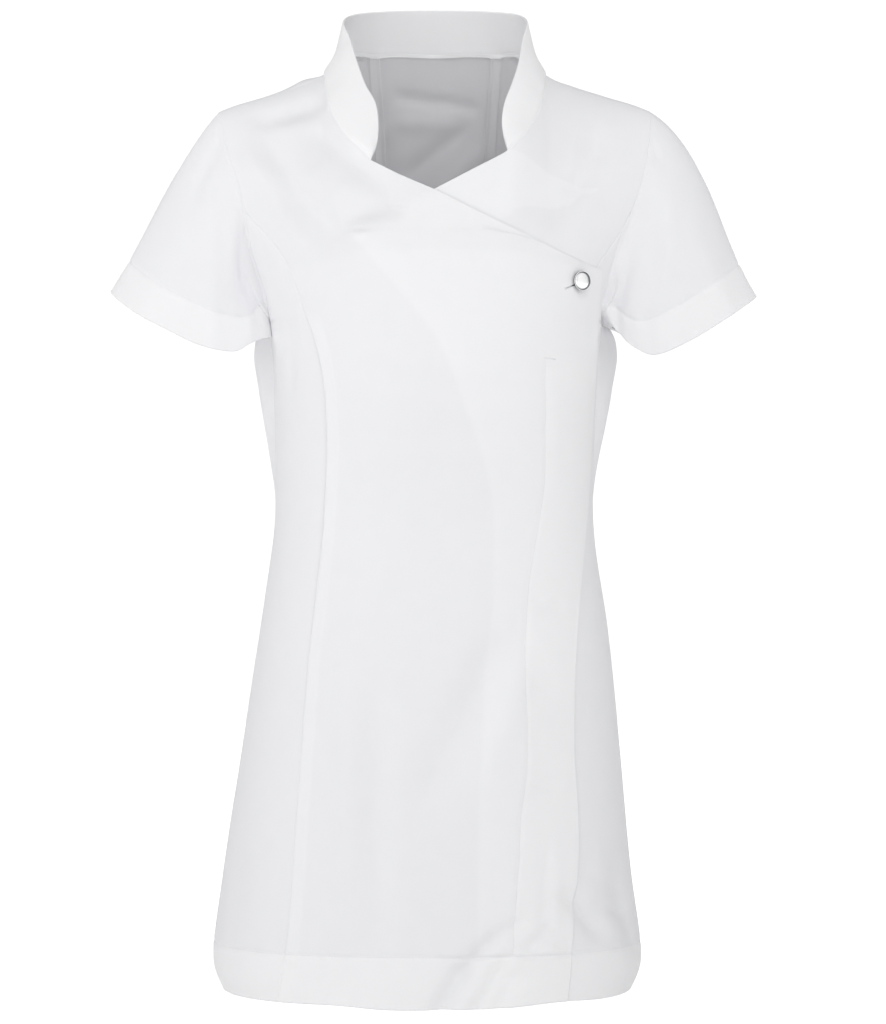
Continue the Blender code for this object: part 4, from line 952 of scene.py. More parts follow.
# %% The cloth
def cloth_material(name, light, dark, bare, roughness, sheen, bump):
    """White twill; bare is the colour of a single layer, which lets a little light through."""
    made = bpy.data.materials.new(name)
    made.use_nodes = True
    nodes, links = made.node_tree.nodes, made.node_tree.links
    shader = nodes["Principled BSDF"]
    shader.inputs["Roughness"].default_value = roughness
    shader.inputs["Sheen Weight"].default_value = sheen
    shader.inputs["Sheen Roughness"].default_value = 0.45
    shader.inputs["Specular IOR Level"].default_value = 0.30
    grain = nodes.new("ShaderNodeUVMap")
    grain.uv_map = "grain"
    place = nodes.new("ShaderNodeTexCoord")
    group = nodes.new("ShaderNodeGroup")
    group.node_tree = weave
    group.inputs["Light Colour"].default_value = light
    group.inputs["Dark Colour"].default_value = dark
    links.new(grain.outputs["UV"], group.inputs["Grain"])
    links.new(place.outputs["Object"], group.inputs["Place"])
    layered = nodes.new("ShaderNodeAttribute")
    layered.attribute_name = "layers"
    mix = nodes.new("ShaderNodeMix")
    mix.data_type = "RGBA"
    mix.blend_type = "MULTIPLY"
    inverse = nodes.new("ShaderNodeMath")
    inverse.operation = "SUBTRACT"
    inverse.inputs[0].default_value = 1.0
    inverse.use_clamp = True
    links.new(layered.outputs["Fac"], inverse.inputs[1])
    links.new(inverse.outputs[0], mix.inputs["Factor"])
    links.new(group.outputs["Colour"], mix.inputs["A"])
    mix.inputs["B"].default_value = bare
    links.new(mix.outputs["Result"], shader.inputs["Base Color"])
    relief = nodes.new("ShaderNodeBump")
    relief.inputs["Strength"].default_value = bump
    relief.inputs["Distance"].default_value = 0.00006
    links.new(group.outputs["Height"], relief.inputs["Height"])
    links.new(relief.outputs["Normal"], shader.inputs["Normal"])
    return made


WHITE = (0.905, 0.905, 0.915, 1.0)
WHITE_SHADE = (0.896, 0.896, 0.908, 1.0)
SINGLE_LAYER = (0.950, 0.950, 0.962, 1.0)
white_twill = cloth_material("white twill", WHITE, WHITE_SHADE, SINGLE_LAYER, 0.78, 0.15, 0.35)

# %% [markdown]
# ## The body's seven pieces
#
# Two fronts cross over: the wearer's right front lies on top and runs from the right princess seam to its
# free edge near the left side. Below it the left front ends near the middle. Two narrow side fronts and
# three back pieces complete the body.

# %% Sew a body piece
BODY_PIECES = {}


def overlap(piece, limits, fade=0.0045):
    """0 beyond the other front's free edge and 1 within it, with a soft step."""
    edge, _ = limits(piece.levels)
    edge_base = base_skin(edge, piece.levels)
    slant = slant_of(edge_base, base_skin(edge + 0.5, piece.levels) - edge_base)
    off = (piece.angles - edge[:, None]) * METRES_PER_DEGREE / slant[:, None]
    return smooth_step(off / fade + 0.5)


def sew_piece(piece, relief, thickness=CLOTH, layers=0.0, strips=()):
    """Lays a piece on the figure with all its folds, and gives it its cloth and its seam allowances."""
    hem_line = piece.bottom - HEM_DEPTH
    hem_share = 1 - smooth_step(hem_line / 0.0012)
    out = figure_relief(piece.side, piece.angles, piece.grid_levels, piece.base) + piece.lift + relief
    out = out + stitch_groove(hem_line, piece.grain[..., 0], len(piece.name)) + 0.0002 * hem_share
    piece.points = piece.base + piece.normals * out[..., None]
    piece.points[..., 2] += hem_rise(piece.base, piece.grid_levels)
    piece.wall = thickness + 2 * CLOTH * hem_share
    cloths = [shell(piece.points, piece.normals, piece.wall, layers + 0.8 * hem_share, piece.grain)]
    above_hem = piece.levels > HEM_LEVEL + HEM_DEPTH - 0.001
    for seed, distance in enumerate(strips):
        parts = [a[above_hem] for a in (piece.points, piece.normals, distance, piece.wall, piece.grain)]
        cloths.append(allowance(*parts, seed + len(piece.name)))
    BODY_PIECES[piece.name] = piece
    made = cloth_object(f"{piece.name}_cloth", cloths, white_twill)
    sewn(made, piece.name, piece.size, piece.area)


# %% The wrap front
def wrap_lift(base, level):
    """The wrap front stands clear of the front under it, and eases down to its own side seam."""
    x = base[..., 0]
    lift = WRAP_LIFT - WRAP_EDGE_DROP * smooth_step((x - 0.09) / 0.04)
    return lift * smooth_step((x + 0.125) / 0.045) * smooth_step(-level / 0.07)


PRINCESS_BAND_TOP = -0.215
PLACKET_TOP = -0.262

levels = row_levels(HEM_LEVEL, 0.0, (PRINCESS_TOP, WRAP_CORNER, COLLAR_END_RIGHT))
spread = facing_width(levels) / FACING_WIDTH
limits = wrap_limits(levels)
wrap = Piece("front_wrap", "front", limits, levels, wrap_lift, ALLOWANCE_LINES, PLACKET_LINES, spread)
from_placket = wrap.right - facing_width(levels)[:, None]
height = wrap.grid_levels
below_neck, below_corner = height <= COLLAR_END_RIGHT, height <= WRAP_CORNER
pressed = pressed_allowance(wrap.left) * smooth_step((PRINCESS_BAND_TOP - height) / 0.02)
placket = facing_band(from_placket, 0.0) * smooth_step((PLACKET_TOP + 0.010 - height) / 0.020)
doubled = overlap(wrap, under_limits) * below_neck
relief = seam_groove(wrap.left) + ALLOWANCE_RISE * pressed + seam_groove(wrap.top)
relief = relief + 0.0004 * doubled + 0.00015 * placket + np.where(below_neck, 0.0, seam_groove(wrap.right))
relief = relief + seam_pucker(wrap.right, height, 4, 0.0006, 0.035, 0.012) * below_corner
on_placket = (height > HEM_LEVEL + HEM_DEPTH) & (height < PLACKET_TOP)
relief = relief + on_placket * stitch_groove(from_placket, height, 3, 0.00035)
folded = below_neck * facing_band(from_placket, 0.0)
sew_piece(wrap, relief, CLOTH * (1 + folded), 0.55 * doubled + 0.30 * placket + 0.5 * pressed, [wrap.left])

# %% The covered front
def under_drop(base, level):
    """The covered front hangs a little further in, where nothing holds it against the wrap."""
    return -UNDER_DROP * (1 - smooth_step((base[..., 0] - 0.05) / 0.04)) * smooth_step((-0.20 - level) / 0.10)


levels = row_levels(HEM_LEVEL, 0.0, (PRINCESS_TOP, UNDER_CORNER, COLLAR_END_LEFT))
under = Piece("front_under", "front", under_limits(levels), levels, under_drop)
below_neck = under.grid_levels <= COLLAR_END_LEFT
relief = seam_groove(under.right) + np.where(below_neck, 0.0, seam_groove(under.left)) + seam_groove(under.top)
folded = below_neck * facing_band(under.left)
sew_piece(under, relief, CLOTH * (1 + folded), 0.5 * folded, [under.right])

# %% The side fronts
levels = row_levels(HEM_LEVEL, PRINCESS_TOP, (ARMPIT_LEVEL,))
limits = side_limit(levels, ARMHOLE_FRONT_RIGHT, -1), seam_angles(PRINCESS_RIGHT, levels)
side = Piece("front_side_right", "front", limits, levels)
sew_piece(side, seam_groove(side.left) + seam_groove(side.right))
limits = seam_angles(PRINCESS_LEFT, levels), side_limit(levels, ARMHOLE_FRONT_LEFT, 1)
side = Piece("front_side_left", "front", limits, levels)
sew_piece(side, seam_groove(side.left) + seam_groove(side.right))

# %% The back
levels = row_levels(HEM_LEVEL, 0.0, (ARMPIT_LEVEL, NECK_BACK_LEVEL))
back_left, back_right = back_limits(levels)
limits = side_limit(levels, ARMHOLE_BACK, 1, back=True), back_left
side = Piece("back_side_left", "back", limits, levels)
sew_piece(side, seam_groove(side.left) + seam_groove(side.right) + seam_groove(side.top), strips=[side.left])
limits = back_right, side_limit(levels, mirrored(ARMHOLE_BACK), -1, back=True)
side = Piece("back_side_right", "back", limits, levels)
sew_piece(side, seam_groove(side.left) + seam_groove(side.right) + seam_groove(side.top), strips=[side.right])
levels = row_levels(HEM_LEVEL, NECK_BACK_LEVEL)
back_left, back_right = back_limits(levels)
centre = Piece("back_centre", "back", (back_left, back_right + 360), levels, None, ALLOWANCE_LINES, ALLOWANCE_LINES)
pressed = np.maximum(pressed_allowance(centre.left), pressed_allowance(centre.right))
relief = seam_groove(centre.left) + seam_groove(centre.right) + seam_groove(centre.top) + ALLOWANCE_RISE * pressed
relief = relief + seam_pucker(centre.top, centre.grain[..., 0], 8, 0.0009, 0.013, 0.012)
sew_piece(centre, relief, layers=0.7 * pressed, strips=[centre.left, centre.right])

# %% [markdown]
# ## Sleeves
#
# A set-in sleeve is a tube whose top is eased into the armhole. Each thread of the tube is a curve that
# leaves the armhole in one direction and reaches the hem in another. The tube's own front and back seams
# meet under the arm.

# %% The armholes and the sleeves' shapes
HemPoint = namedtuple("HemPoint", "out y z")
SLEEVE_HEM_RIGHT = [
    HemPoint(0.2945, 0.000, -0.1975),
    HemPoint(0.2703, -0.030, -0.2167),
    HemPoint(0.2421, -0.044, -0.2319),
    HemPoint(0.2103, -0.050, -0.2470),
    HemPoint(0.1800, -0.050, -0.2527),
    HemPoint(0.1632, -0.046, -0.2450),
    HemPoint(0.1456, -0.035, -0.2385),
    HemPoint(0.1600, -0.004, -0.2350),
    HemPoint(0.1815, 0.024, -0.2450),
    HemPoint(0.1960, 0.045, -0.2360),
    HemPoint(0.2260, 0.052, -0.2220),
    HemPoint(0.2600, 0.042, -0.2060),
    HemPoint(0.2850, 0.022, -0.1985),
]
SLEEVE_HEM_LEFT = [
    HemPoint(0.2918, 0.000, -0.2010),
    HemPoint(0.2736, -0.026, -0.2147),
    HemPoint(0.2566, -0.036, -0.2260),
    HemPoint(0.2289, -0.046, -0.2427),
    HemPoint(0.1993, -0.046, -0.2552),
    HemPoint(0.1803, -0.043, -0.2500),
    HemPoint(0.1590, -0.037, -0.2320),
    HemPoint(0.1635, -0.004, -0.2330),
    HemPoint(0.1835, 0.024, -0.2400),
    HemPoint(0.2000, 0.045, -0.2380),
    HemPoint(0.2300, 0.052, -0.2240),
    HemPoint(0.2620, 0.042, -0.2080),
    HemPoint(0.2830, 0.022, -0.2010),
]
INNER_HEM_POINT = 7
SLEEVE_DIRECTION = np.array([0.54, 0.0, -0.84])
SLEEVE_OUTWARD = np.array([0.84, 0.0, 0.54])
SLEEVE_FLARE = {"right": 0.15, "left": 0.44}
SLEEVE_FLARE_START = 0.25
SHORT_THREAD = 0.044  # below half of this length, a thread of the sleeve runs straight
SLEEVE_HEM_DEPTH = 0.0325
SLEEVE_TOP_STEPS = np.concatenate([EDGE_STEPS, [0.0070, 0.0100]])
SLEEVE_HEM_STEPS = np.concatenate([EDGE_STEPS, np.arange(0.009, 0.0285, 0.004), SLEEVE_HEM_DEPTH + LINE_STEPS])
SLEEVE_MIDDLE_ROWS = 34
SLEEVE_COLUMN_STEP = 0.0042


def armhole_levels():
    """Levels from the shoulder seam down to the armpit, close together beside the shoulder."""
    top = -SHOULDER_ROUND / 2 * (np.arange(0.0, 0.036, SLEEVE_COLUMN_STEP) / SHOULDER_SPREAD) ** 2
    down = np.arange(top[-1] - 0.004, ARMPIT_LEVEL + 0.002, -SLEEVE_COLUMN_STEP)
    return np.concatenate([top, down, [ARMPIT_LEVEL]])


def shares_along(line):
    steps = np.linalg.norm(np.diff(line, axis=0), axis=1)
    along = np.concatenate([[0.0], np.cumsum(steps)])
    return along / along[-1]


def sleeve_ring(side):
    """The armhole from the shoulder down the front and up the back, and the place of the armpit in it."""
    sign = -1.0 if side == "right" else 1.0
    front_table = ARMHOLE_FRONT_RIGHT if side == "right" else ARMHOLE_FRONT_LEFT
    back_table = mirrored(ARMHOLE_BACK) if side == "right" else ARMHOLE_BACK
    front = armhole_levels()
    back = front[::-1][1:-1]
    angles = np.concatenate([side_limit(front, front_table, sign), side_limit(back, back_table, sign, back=True)])
    heights = np.concatenate([front, back])
    base = base_skin(angles, heights)
    is_front = np.arange(len(angles)) < len(front)
    out = [figure_relief(half, angles, heights, base) for half in ("front", "back")]
    out = np.where(is_front, *out) - SEAM_DIP
    return base + skin_normal(angles, heights) * out[:, None], len(front) - 1


def sleeve_hem(side, ring, armpit):
    """The hem's points, one for each point of the armhole, at even shares of both halves."""
    sign = -1.0 if side == "right" else 1.0
    table = SLEEVE_HEM_RIGHT if side == "right" else SLEEVE_HEM_LEFT
    marks = np.array([[sign * p.out, p.y, p.z] for p in table])
    looped = np.concatenate([marks[-2:], marks, marks[:3]])
    curves = [through(np.arange(-2, len(marks) + 3), looped[:, k]) for k in range(3)]
    closed = np.concatenate([ring, ring[:1]])
    hem = []
    for first, last, low, high in ((0, armpit, 0, INNER_HEM_POINT), (armpit, len(ring), INNER_HEM_POINT, len(marks))):
        fine = np.linspace(low, high, 200)
        line = np.stack([curve(fine) for curve in curves], axis=-1)
        at = np.interp(shares_along(closed[first : last + 1]), shares_along(line), fine)
        hem.append(np.stack([curve(at) for curve in curves], axis=-1)[:-1])
    return np.concatenate(hem)


def sleeve_grid(side):
    """Rows from the armhole to the hem, each thread a smooth curve between its two ends."""
    mirror = np.array([-1.0 if side == "right" else 1.0, 1.0, 1.0])
    start, armpit = sleeve_ring(side)
    hem = sleeve_hem(side, start, armpit)
    down = SLEEVE_DIRECTION * mirror
    spokes = start - start.mean(axis=0)
    radial = unit(spokes - (spokes @ down)[:, None] * down)
    away = radial @ (SLEEVE_OUTWARD * mirror)
    leaving = unit(down + SLEEVE_FLARE[side] * smooth_step(away + SLEEVE_FLARE_START)[:, None] * radial)
    reach = np.linalg.norm(hem - start, axis=1)[:, None]
    short = smooth_step((SHORT_THREAD - reach) / SHORT_THREAD * 2)
    leaving = unit(leaving * (1 - short) + (hem - start) / reach * short)
    arriving = unit(down * (1 - short) + (hem - start) / reach * short)
    t = np.linspace(0, 1, 161)[:, None, None]
    near = (1 + 2 * t) * (1 - t) ** 2 * start + t * (1 - t) ** 2 * reach * leaving
    threads = near + t**2 * (3 - 2 * t) * hem - t**2 * (1 - t) * reach * arriving
    steps = np.linalg.norm(np.diff(threads, axis=0), axis=2)
    along = np.concatenate([np.zeros((1, steps.shape[1])), np.cumsum(steps, axis=0)])
    columns = []
    for i in range(along.shape[1]):
        total = along[-1, i]
        squeeze = min(1.0, 0.9 * total / (SLEEVE_TOP_STEPS[-1] + SLEEVE_HEM_STEPS[-1]))
        low, high = SLEEVE_TOP_STEPS * squeeze, total - SLEEVE_HEM_STEPS[::-1] * squeeze
        places = np.concatenate([low, np.linspace(low[-1], high[0], SLEEVE_MIDDLE_ROWS)[1:-1], high])
        columns.append([np.interp(places, along[:, i], threads[:, i, k]) for k in range(3)])
    return np.array(columns).transpose(2, 0, 1), armpit


# %% Sew the sleeves
def grid_normals(points, outward_from, ring):
    """Normals of a grid from its own neighbours, turned away from a line of inner points."""
    if ring:
        across = np.roll(points, -1, axis=1) - np.roll(points, 1, axis=1)
    else:
        across = np.gradient(points, axis=1)
    normals = unit(np.cross(across, np.gradient(points, axis=0)))
    return normals * np.sign((normals * (points - outward_from)).sum())


SleeveCrease = namedtuple("SleeveCrease", "sleeve around_from down_from around_to down_to width out")
SLEEVE_CREASES = [
    SleeveCrease("right", 0.030, -0.020, 0.045, 0.070, 0.009, -0.0020),
    SleeveCrease("right", 0.090, -0.010, 0.215, 0.060, 0.013, -0.0035),
    SleeveCrease("right", 0.060, 0.020, 0.150, 0.130, 0.013, 0.0020),
    SleeveCrease("right", 0.330, 0.000, 0.280, 0.120, 0.012, -0.0025),
    SleeveCrease("left", 0.032, -0.004, 0.052, 0.016, 0.0035, -0.0016),
    SleeveCrease("left", 0.100, -0.010, 0.210, 0.070, 0.014, -0.0035),
    SleeveCrease("left", 0.165, 0.000, 0.220, 0.085, 0.006, -0.0030),
    SleeveCrease("left", 0.190, 0.000, 0.235, 0.080, 0.005, 0.0025),
    SleeveCrease("left", 0.060, 0.020, 0.140, 0.140, 0.013, 0.0020),
    SleeveCrease("left", 0.330, 0.000, 0.290, 0.120, 0.012, -0.0025),
]
SLEEVE_SINK = {"right": 0.0045, "left": 0.0018}
SINK_REACH = 0.022
ARMPIT_FULLNESS = {"right": 0.0035, "left": 0.0}
SLEEVES = {}


def sew_sleeve(side):
    points, armpit = sleeve_grid(side)
    normals = grid_normals(points, points.mean(axis=1, keepdims=True), ring=True)
    climbs = np.linalg.norm(np.diff(points, axis=0), axis=2)
    from_top = np.concatenate([np.zeros((1, climbs.shape[1])), np.cumsum(climbs, axis=0)])
    from_hem = from_top[-1:] - from_top
    round_it = np.linalg.norm(np.roll(points, -1, axis=1) - points, axis=2)
    around = np.cumsum(round_it, axis=1) - round_it
    under_arm = np.abs(around - around[:, armpit : armpit + 1])
    hem_share = 1 - smooth_step((from_hem - SLEEVE_HEM_DEPTH) / 0.0012)
    out = seam_groove(under_arm) * smooth_step(from_top / 0.004) + 0.0002 * hem_share
    down_front = around / around[:, armpit : armpit + 1]
    sunk = smooth_step((down_front - 0.20) / 0.30) * smooth_step((0.92 - down_front) / 0.20)
    out = out - SLEEVE_SINK[side] * sunk * smooth_step(from_top / 0.004) * np.exp(-from_top / SINK_REACH)
    full = smooth_step((down_front - 0.80) / 0.12) * smooth_step((1.0 - down_front) / 0.04)
    out = out + ARMPIT_FULLNESS[side] * full * smooth_step(from_top / 0.003) * smooth_step(from_hem / 0.008)
    out = out + seam_pucker(from_top, around, 5, 0.0007, 0.013, 0.014)
    out = out + stitch_groove(from_hem - SLEEVE_HEM_DEPTH, around, 9)
    out = out + 0.0005 * unevenness(around / 0.045, from_top / 0.05 + 11) * smooth_step(from_top / 0.02)
    for crease in SLEEVE_CREASES:
        if crease.sleeve == side:
            run = crease.around_to - crease.around_from, crease.down_to - crease.down_from
            dx, dz = around - crease.around_from, from_top - crease.down_from
            out = out + ridge(dx, dz, *run, crease.width, crease.out) * smooth_step(from_top / 0.008)
    points = points + normals * out[..., None]
    grain = np.stack([around - around[:, -1:] / 2, -from_top], axis=-1)
    order = slice(None, None, 1 if side == "right" else -1)
    grids = points, normals, CLOTH * (1 + 2 * hem_share), 0.8 * hem_share, grain
    cloth = shell(*[grid[:, order] for grid in grids], ring=True)
    made = cloth_object(f"sleeve_{side}_cloth", [cloth], white_twill)
    size = float((around + round_it)[:, -1].max()), float(from_top[-1].max())
    sewn(made, f"sleeve_{side}", size, float((round_it[:-1] * climbs).sum()))
    SLEEVES[side] = points, normals, from_hem


for side in ("right", "left"):
    sew_sleeve(side)

# %% [markdown]
# ## The stand collar
#
# The collar is two layers with interfacing between them, so it is stiffer and thicker than the rest. It
# follows the neckline point for point and leans out to a free edge that is given by a short table.

# %% The collar's shape
CollarTop = namedtuple("CollarTop", "y z right left")
COLLAR_TOP = [
    CollarTop(-0.0735, -0.0500, -0.0506, 0.0602),
    CollarTop(-0.0640, -0.0330, -0.0530, 0.0625),
    CollarTop(-0.0520, -0.0150, -0.0622, 0.0690),
    CollarTop(-0.0350, 0.0060, -0.0697, 0.0755),
    CollarTop(-0.0100, 0.0310, -0.0772, 0.0800),
    CollarTop(0.0180, 0.0515, -0.0838, 0.0842),
    CollarTop(0.0400, 0.0595, -0.0760, 0.0770),
    CollarTop(0.0600, 0.0648, -0.0510, 0.0515),
    CollarTop(0.0690, 0.0670, 0.0000, 0.0000),
]
CollarEnd = namedtuple("CollarEnd", "x y z")
COLLAR_END_TOPS = {
    "right": [CollarEnd(-0.0540, -0.0862, -0.0790), CollarEnd(-0.0515, -0.0815, -0.0690)],
    "left": [CollarEnd(0.0630, -0.0825, -0.0710), CollarEnd(0.0613, -0.0795, -0.0628)],
}
COLLAR_CLOTH = 0.0015
COLLAR_BOW = 0.0020
COLLAR_STEP = 0.0030
COLLAR_HEIGHT = 0.044


def neckline_points():
    """The seam between body and collar, from the wrap's end over the right shoulder and round."""
    top = -SHOULDER_ROUND / 2 * (np.arange(0.0, 0.036, 0.003) / SHOULDER_SPREAD) ** 2
    right_front = np.concatenate([np.arange(COLLAR_END_RIGHT, top[-1] - 0.001, COLLAR_STEP), top[::-1]])
    left_front = np.concatenate([top, np.arange(top[-1] - 0.002, COLLAR_END_LEFT, -COLLAR_STEP), [COLLAR_END_LEFT]])
    beside = (np.linspace(0.0, 1.0, 16)[1:] ** 2) * NECK_BACK_LEVEL
    across = np.linspace(1.0, 0.0, 70)[1:-1]
    seam_left, seam_right = back_limits(np.array([NECK_BACK_LEVEL]))
    parts = [
        ("front", wrap_limits(right_front)[1], right_front, True),
        ("back", back_limits(beside)[1], beside, False),
        ("back", seam_left + (seam_right + 360 - seam_left) * across, np.full(68, NECK_BACK_LEVEL), False),
        ("back", back_limits(beside[::-1])[0], beside[::-1], False),
        ("front", under_limits(left_front)[0], left_front, False),
    ]
    points = []
    for side, angles, heights, lifted in parts:
        base = base_skin(angles, heights)
        out = figure_relief(side, angles, heights, base) - SEAM_DIP + (wrap_lift(base, heights) if lifted else 0.0)
        points.append(base + skin_normal(angles, heights) * out[:, None])
    return np.concatenate(points)


def collar_grid(seam):
    """Rows from the neckline to the free edge, whose table is met at even shares of its length."""
    right = list(COLLAR_END_TOPS["right"]) + [(p.right, p.y, p.z) for p in COLLAR_TOP]
    left = list(COLLAR_END_TOPS["left"]) + [(p.left, p.y, p.z) for p in COLLAR_TOP]
    edge = np.array(right + left[::-1][1:], float)
    steps = np.concatenate([[0.0], np.cumsum(np.linalg.norm(np.diff(edge, axis=0), axis=1))])
    curves = [through(steps, edge[:, k]) for k in range(3)]
    top = np.stack([curve(shares_along(seam) * steps[-1]) for curve in curves], axis=-1)
    bow = unit(np.cross(unit(np.gradient(seam, axis=0)), top - seam))
    bow *= np.sign((bow * seam).sum(axis=1))[:, None]
    near = EDGE_STEPS / COLLAR_HEIGHT
    places = np.concatenate([near, np.linspace(near[-1], 1 - near[-1], 17)[1:-1], (1 - near)[::-1]])
    return np.array([seam * (1 - t) + top * t + bow * COLLAR_BOW * 4 * t * (1 - t) for t in places])


# %% Sew the collar
BAND_STEPS = np.array([-0.0004, 0.0003, 0.0014, 0.0024, 0.0029])
BAND_ENDS = 5

points = collar_grid(neckline_points())
normals = grid_normals(points, np.array([0.0, 0.0, 0.0]), ring=False)
climbs = np.linalg.norm(np.diff(points, axis=0), axis=2)
from_seam = np.concatenate([np.zeros((1, climbs.shape[1])), np.cumsum(climbs, axis=0)])
strides = np.linalg.norm(np.diff(points, axis=1), axis=2)
along = np.concatenate([np.zeros((len(points), 1)), np.cumsum(strides, axis=1)], axis=1)
normals[:, :3], normals[:, -3:] = normals[:, 3:4], normals[:, -4:-3]
relief = seam_pucker(from_seam, along, 2, 0.0010, 0.015, 0.013) + 0.0006 * smooth_step(from_seam / 0.003)
relief = relief + 0.0004 * unevenness(along / 0.04, from_seam / 0.03 + 4) * smooth_step(from_seam / 0.01)
points = points + normals * relief[..., None]
collar_size = float(along[:, -1].max()), float(from_seam[-1].max())
collar_area = 0.98 * float((strides[:-1] * climbs[:, :-1]).sum())
wall = CLOTH + (COLLAR_CLOTH - CLOTH) * smooth_step(from_seam / 0.005)
stand = shell(points, normals, wall, 1.0, np.stack([along, from_seam], axis=-1))

inner = points - normals * wall[..., None]
turned = [grid.transpose(1, 0, 2) for grid in (inner, normals)]
band, facing = (rows_at(from_seam.T, BAND_STEPS, grid).transpose(1, 0, 2) for grid in turned)
puckers = 0.0003 * unevenness(along[:1] / 0.012, 7.4) * np.array([0, 0.2, 1, 1, 0.6])[:, None]
band = band - unit(facing) * (0.00005 + puckers[..., None])
grain = np.stack([np.repeat(along[:1], 5, axis=0), np.repeat(BAND_STEPS[:, None], along.shape[1], axis=1)], axis=-1)
band, facing, grain = (grid[:, BAND_ENDS:-BAND_ENDS] for grid in (band, unit(facing), grain))
folded_edge = shell(band, facing, 0.0004, 1.0, grain)
collar = cloth_object("collar_cloth", [stand, folded_edge], white_twill)
sewn(collar, "collar", collar_size, collar_area)

# %% [markdown]
# ## Thread
#
# The hem, the sleeve hems and the facing behind the wrap's edge are each held by one line of lockstitch in
# white polyester thread, about ten stitches to 25 mm. A stitch is a short length of thread that dives into
# the cloth at both ends.

# %% Thread's finish
thread_white = cloth_material("white thread", (0.93, 0.93, 0.94, 1.0), (0.88, 0.88, 0.90, 1.0), WHITE, 0.5, 0.1, 0.0)

# %% Stitches from lines
StitchRing = namedtuple("StitchRing", "along width height")
STITCH_PROFILE = [
    StitchRing(-0.50, 0.35, -0.9),
    StitchRing(-0.36, 0.90, 0.1),
    StitchRing(0.00, 1.00, 0.5),
    StitchRing(0.36, 0.90, 0.1),
    StitchRing(0.50, 0.35, -0.9),
]
STITCH_SIDES = 5
STITCH_LENGTH, STITCH_PITCH, THREAD_RADIUS = 0.0023, 0.0027, 0.00024


def along_line(points, normals, pitch):
    """Places, directions and normals at an even pitch along a line."""
    steps = np.concatenate([[0.0], np.cumsum(np.linalg.norm(np.diff(points, axis=0), axis=1))])
    at = (np.arange(int(steps[-1] / pitch)) + 0.5) * pitch

    def read(values, place):
        return np.stack([np.interp(place, steps, values[:, k]) for k in range(3)], axis=-1)

    heading = unit(read(points, at + 0.4 * pitch) - read(points, at - 0.4 * pitch))
    return read(points, at), heading, unit(read(normals, at))


def stitch_arrays(places, headings, normals, length=STITCH_LENGTH, radius=THREAD_RADIUS):
    """One short rounded bar for each place."""
    turn = np.linspace(0, 2 * np.pi, STITCH_SIDES, endpoint=False)
    sideways = unit(np.cross(normals, headings))
    rings = []
    for ring in STITCH_PROFILE:
        centre = places + headings * ring.along * length + normals * ring.height * radius
        across = sideways[:, None] * np.cos(turn)[None, :, None] + normals[:, None] * np.sin(turn)[None, :, None]
        rings.append(centre[:, None] + across * radius * ring.width)
    points = np.stack(rings, axis=1)
    count, levels, sides = points.shape[:3]
    first = np.arange(count)[:, None, None] * levels * sides
    level = np.arange(levels - 1)[None, :, None] * sides
    k = np.arange(sides)[None, None, :]
    a, b = first + level + k, first + level + (k + 1) % sides
    quads = np.stack([a, b, b + sides, a + sides], axis=-1).reshape(-1, 4)
    ends = [list(range(f + s, f + s + sides)) for f in first.ravel() for s in (0, (levels - 1) * sides)]
    ends = [end[::-1] if i % 2 == 0 else end for i, end in enumerate(ends)]
    return points.reshape(-1, 3), quads.tolist() + ends


def thread_object(name, sets, finish):
    """One object from several sets of stitches."""
    points, faces, start = [], [], 0
    for some_points, some_faces in sets:
        points.append(some_points)
        faces += [[v + start for v in face] for face in some_faces]
        start += len(some_points)
    mesh = bpy.data.meshes.new(name)
    mesh.from_pydata(np.concatenate(points).tolist(), [], faces)
    mesh.polygons.foreach_set("use_smooth", np.ones(len(mesh.polygons), bool))
    mesh.uv_layers.new(name="grain")
    mesh.materials.append(finish)
    made = bpy.data.objects.new(name, mesh)
    bpy.context.scene.collection.objects.link(made)
    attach(made, "root")
    print(f"{name}: {len(faces)} faces")
    return made


# %% Sew the hems and the placket
def sewn_line(points, normals):
    return stitch_arrays(*along_line(points, normals, STITCH_PITCH))


def across_columns(distance, place, *grids):
    """Points where a distance, which grows up each column, reaches one place."""
    return [rows_at(distance.T, np.array([place]), grid.transpose(1, 0, 2))[:, 0] for grid in grids]


lines = []
for piece in BODY_PIECES.values():
    lines.append(across_columns(piece.bottom, HEM_DEPTH, piece.points, piece.normals))
thread_object("hem_stitches", [sewn_line(*line) for line in lines], thread_white)

lines = []
for points, normals, from_hem in SLEEVES.values():
    grids = [np.concatenate([grid[::-1], grid[::-1, :1]], axis=1) for grid in (points, normals)]
    distance = np.concatenate([from_hem[::-1], from_hem[::-1, :1]], axis=1)
    lines.append(across_columns(distance, SLEEVE_HEM_DEPTH, *grids))
thread_object("sleeve_stitches", [sewn_line(*line) for line in lines], thread_white)

rows = (wrap.levels > HEM_LEVEL + HEM_DEPTH) & (wrap.levels < PLACKET_TOP)
grids = [grid[rows, ::-1] for grid in (wrap.points, wrap.normals)]
line = [rows_at(from_placket[rows, ::-1], np.array([0.0]), grid)[:, 0] for grid in grids]
thread_object("placket_stitches", [sewn_line(*line)], thread_white)

# %% Overlock the allowances
OVERLOCK_PITCH, OVERLOCK_WIDTH = 0.0021, 0.0045


sets = []
for strip, facing in OVERLOCKS:
    edge = strip[:, -1]
    places, headings, normals = along_line(edge, facing[:, -1], OVERLOCK_PITCH)
    inner_edge = along_line(strip[:, -3], facing[:, -3], OVERLOCK_PITCH)[0]
    count = min(len(places), len(inner_edge))
    inwards = unit(inner_edge[:count] - places[:count])
    leaning = unit(inwards + 0.45 * headings[:count])
    centre = places[:count] + 0.4 * OVERLOCK_WIDTH * inwards
    sets.append(stitch_arrays(centre, leaning, normals[:count], OVERLOCK_WIDTH, 0.00030))
thread_object("overlock_threads", sets, thread_white)
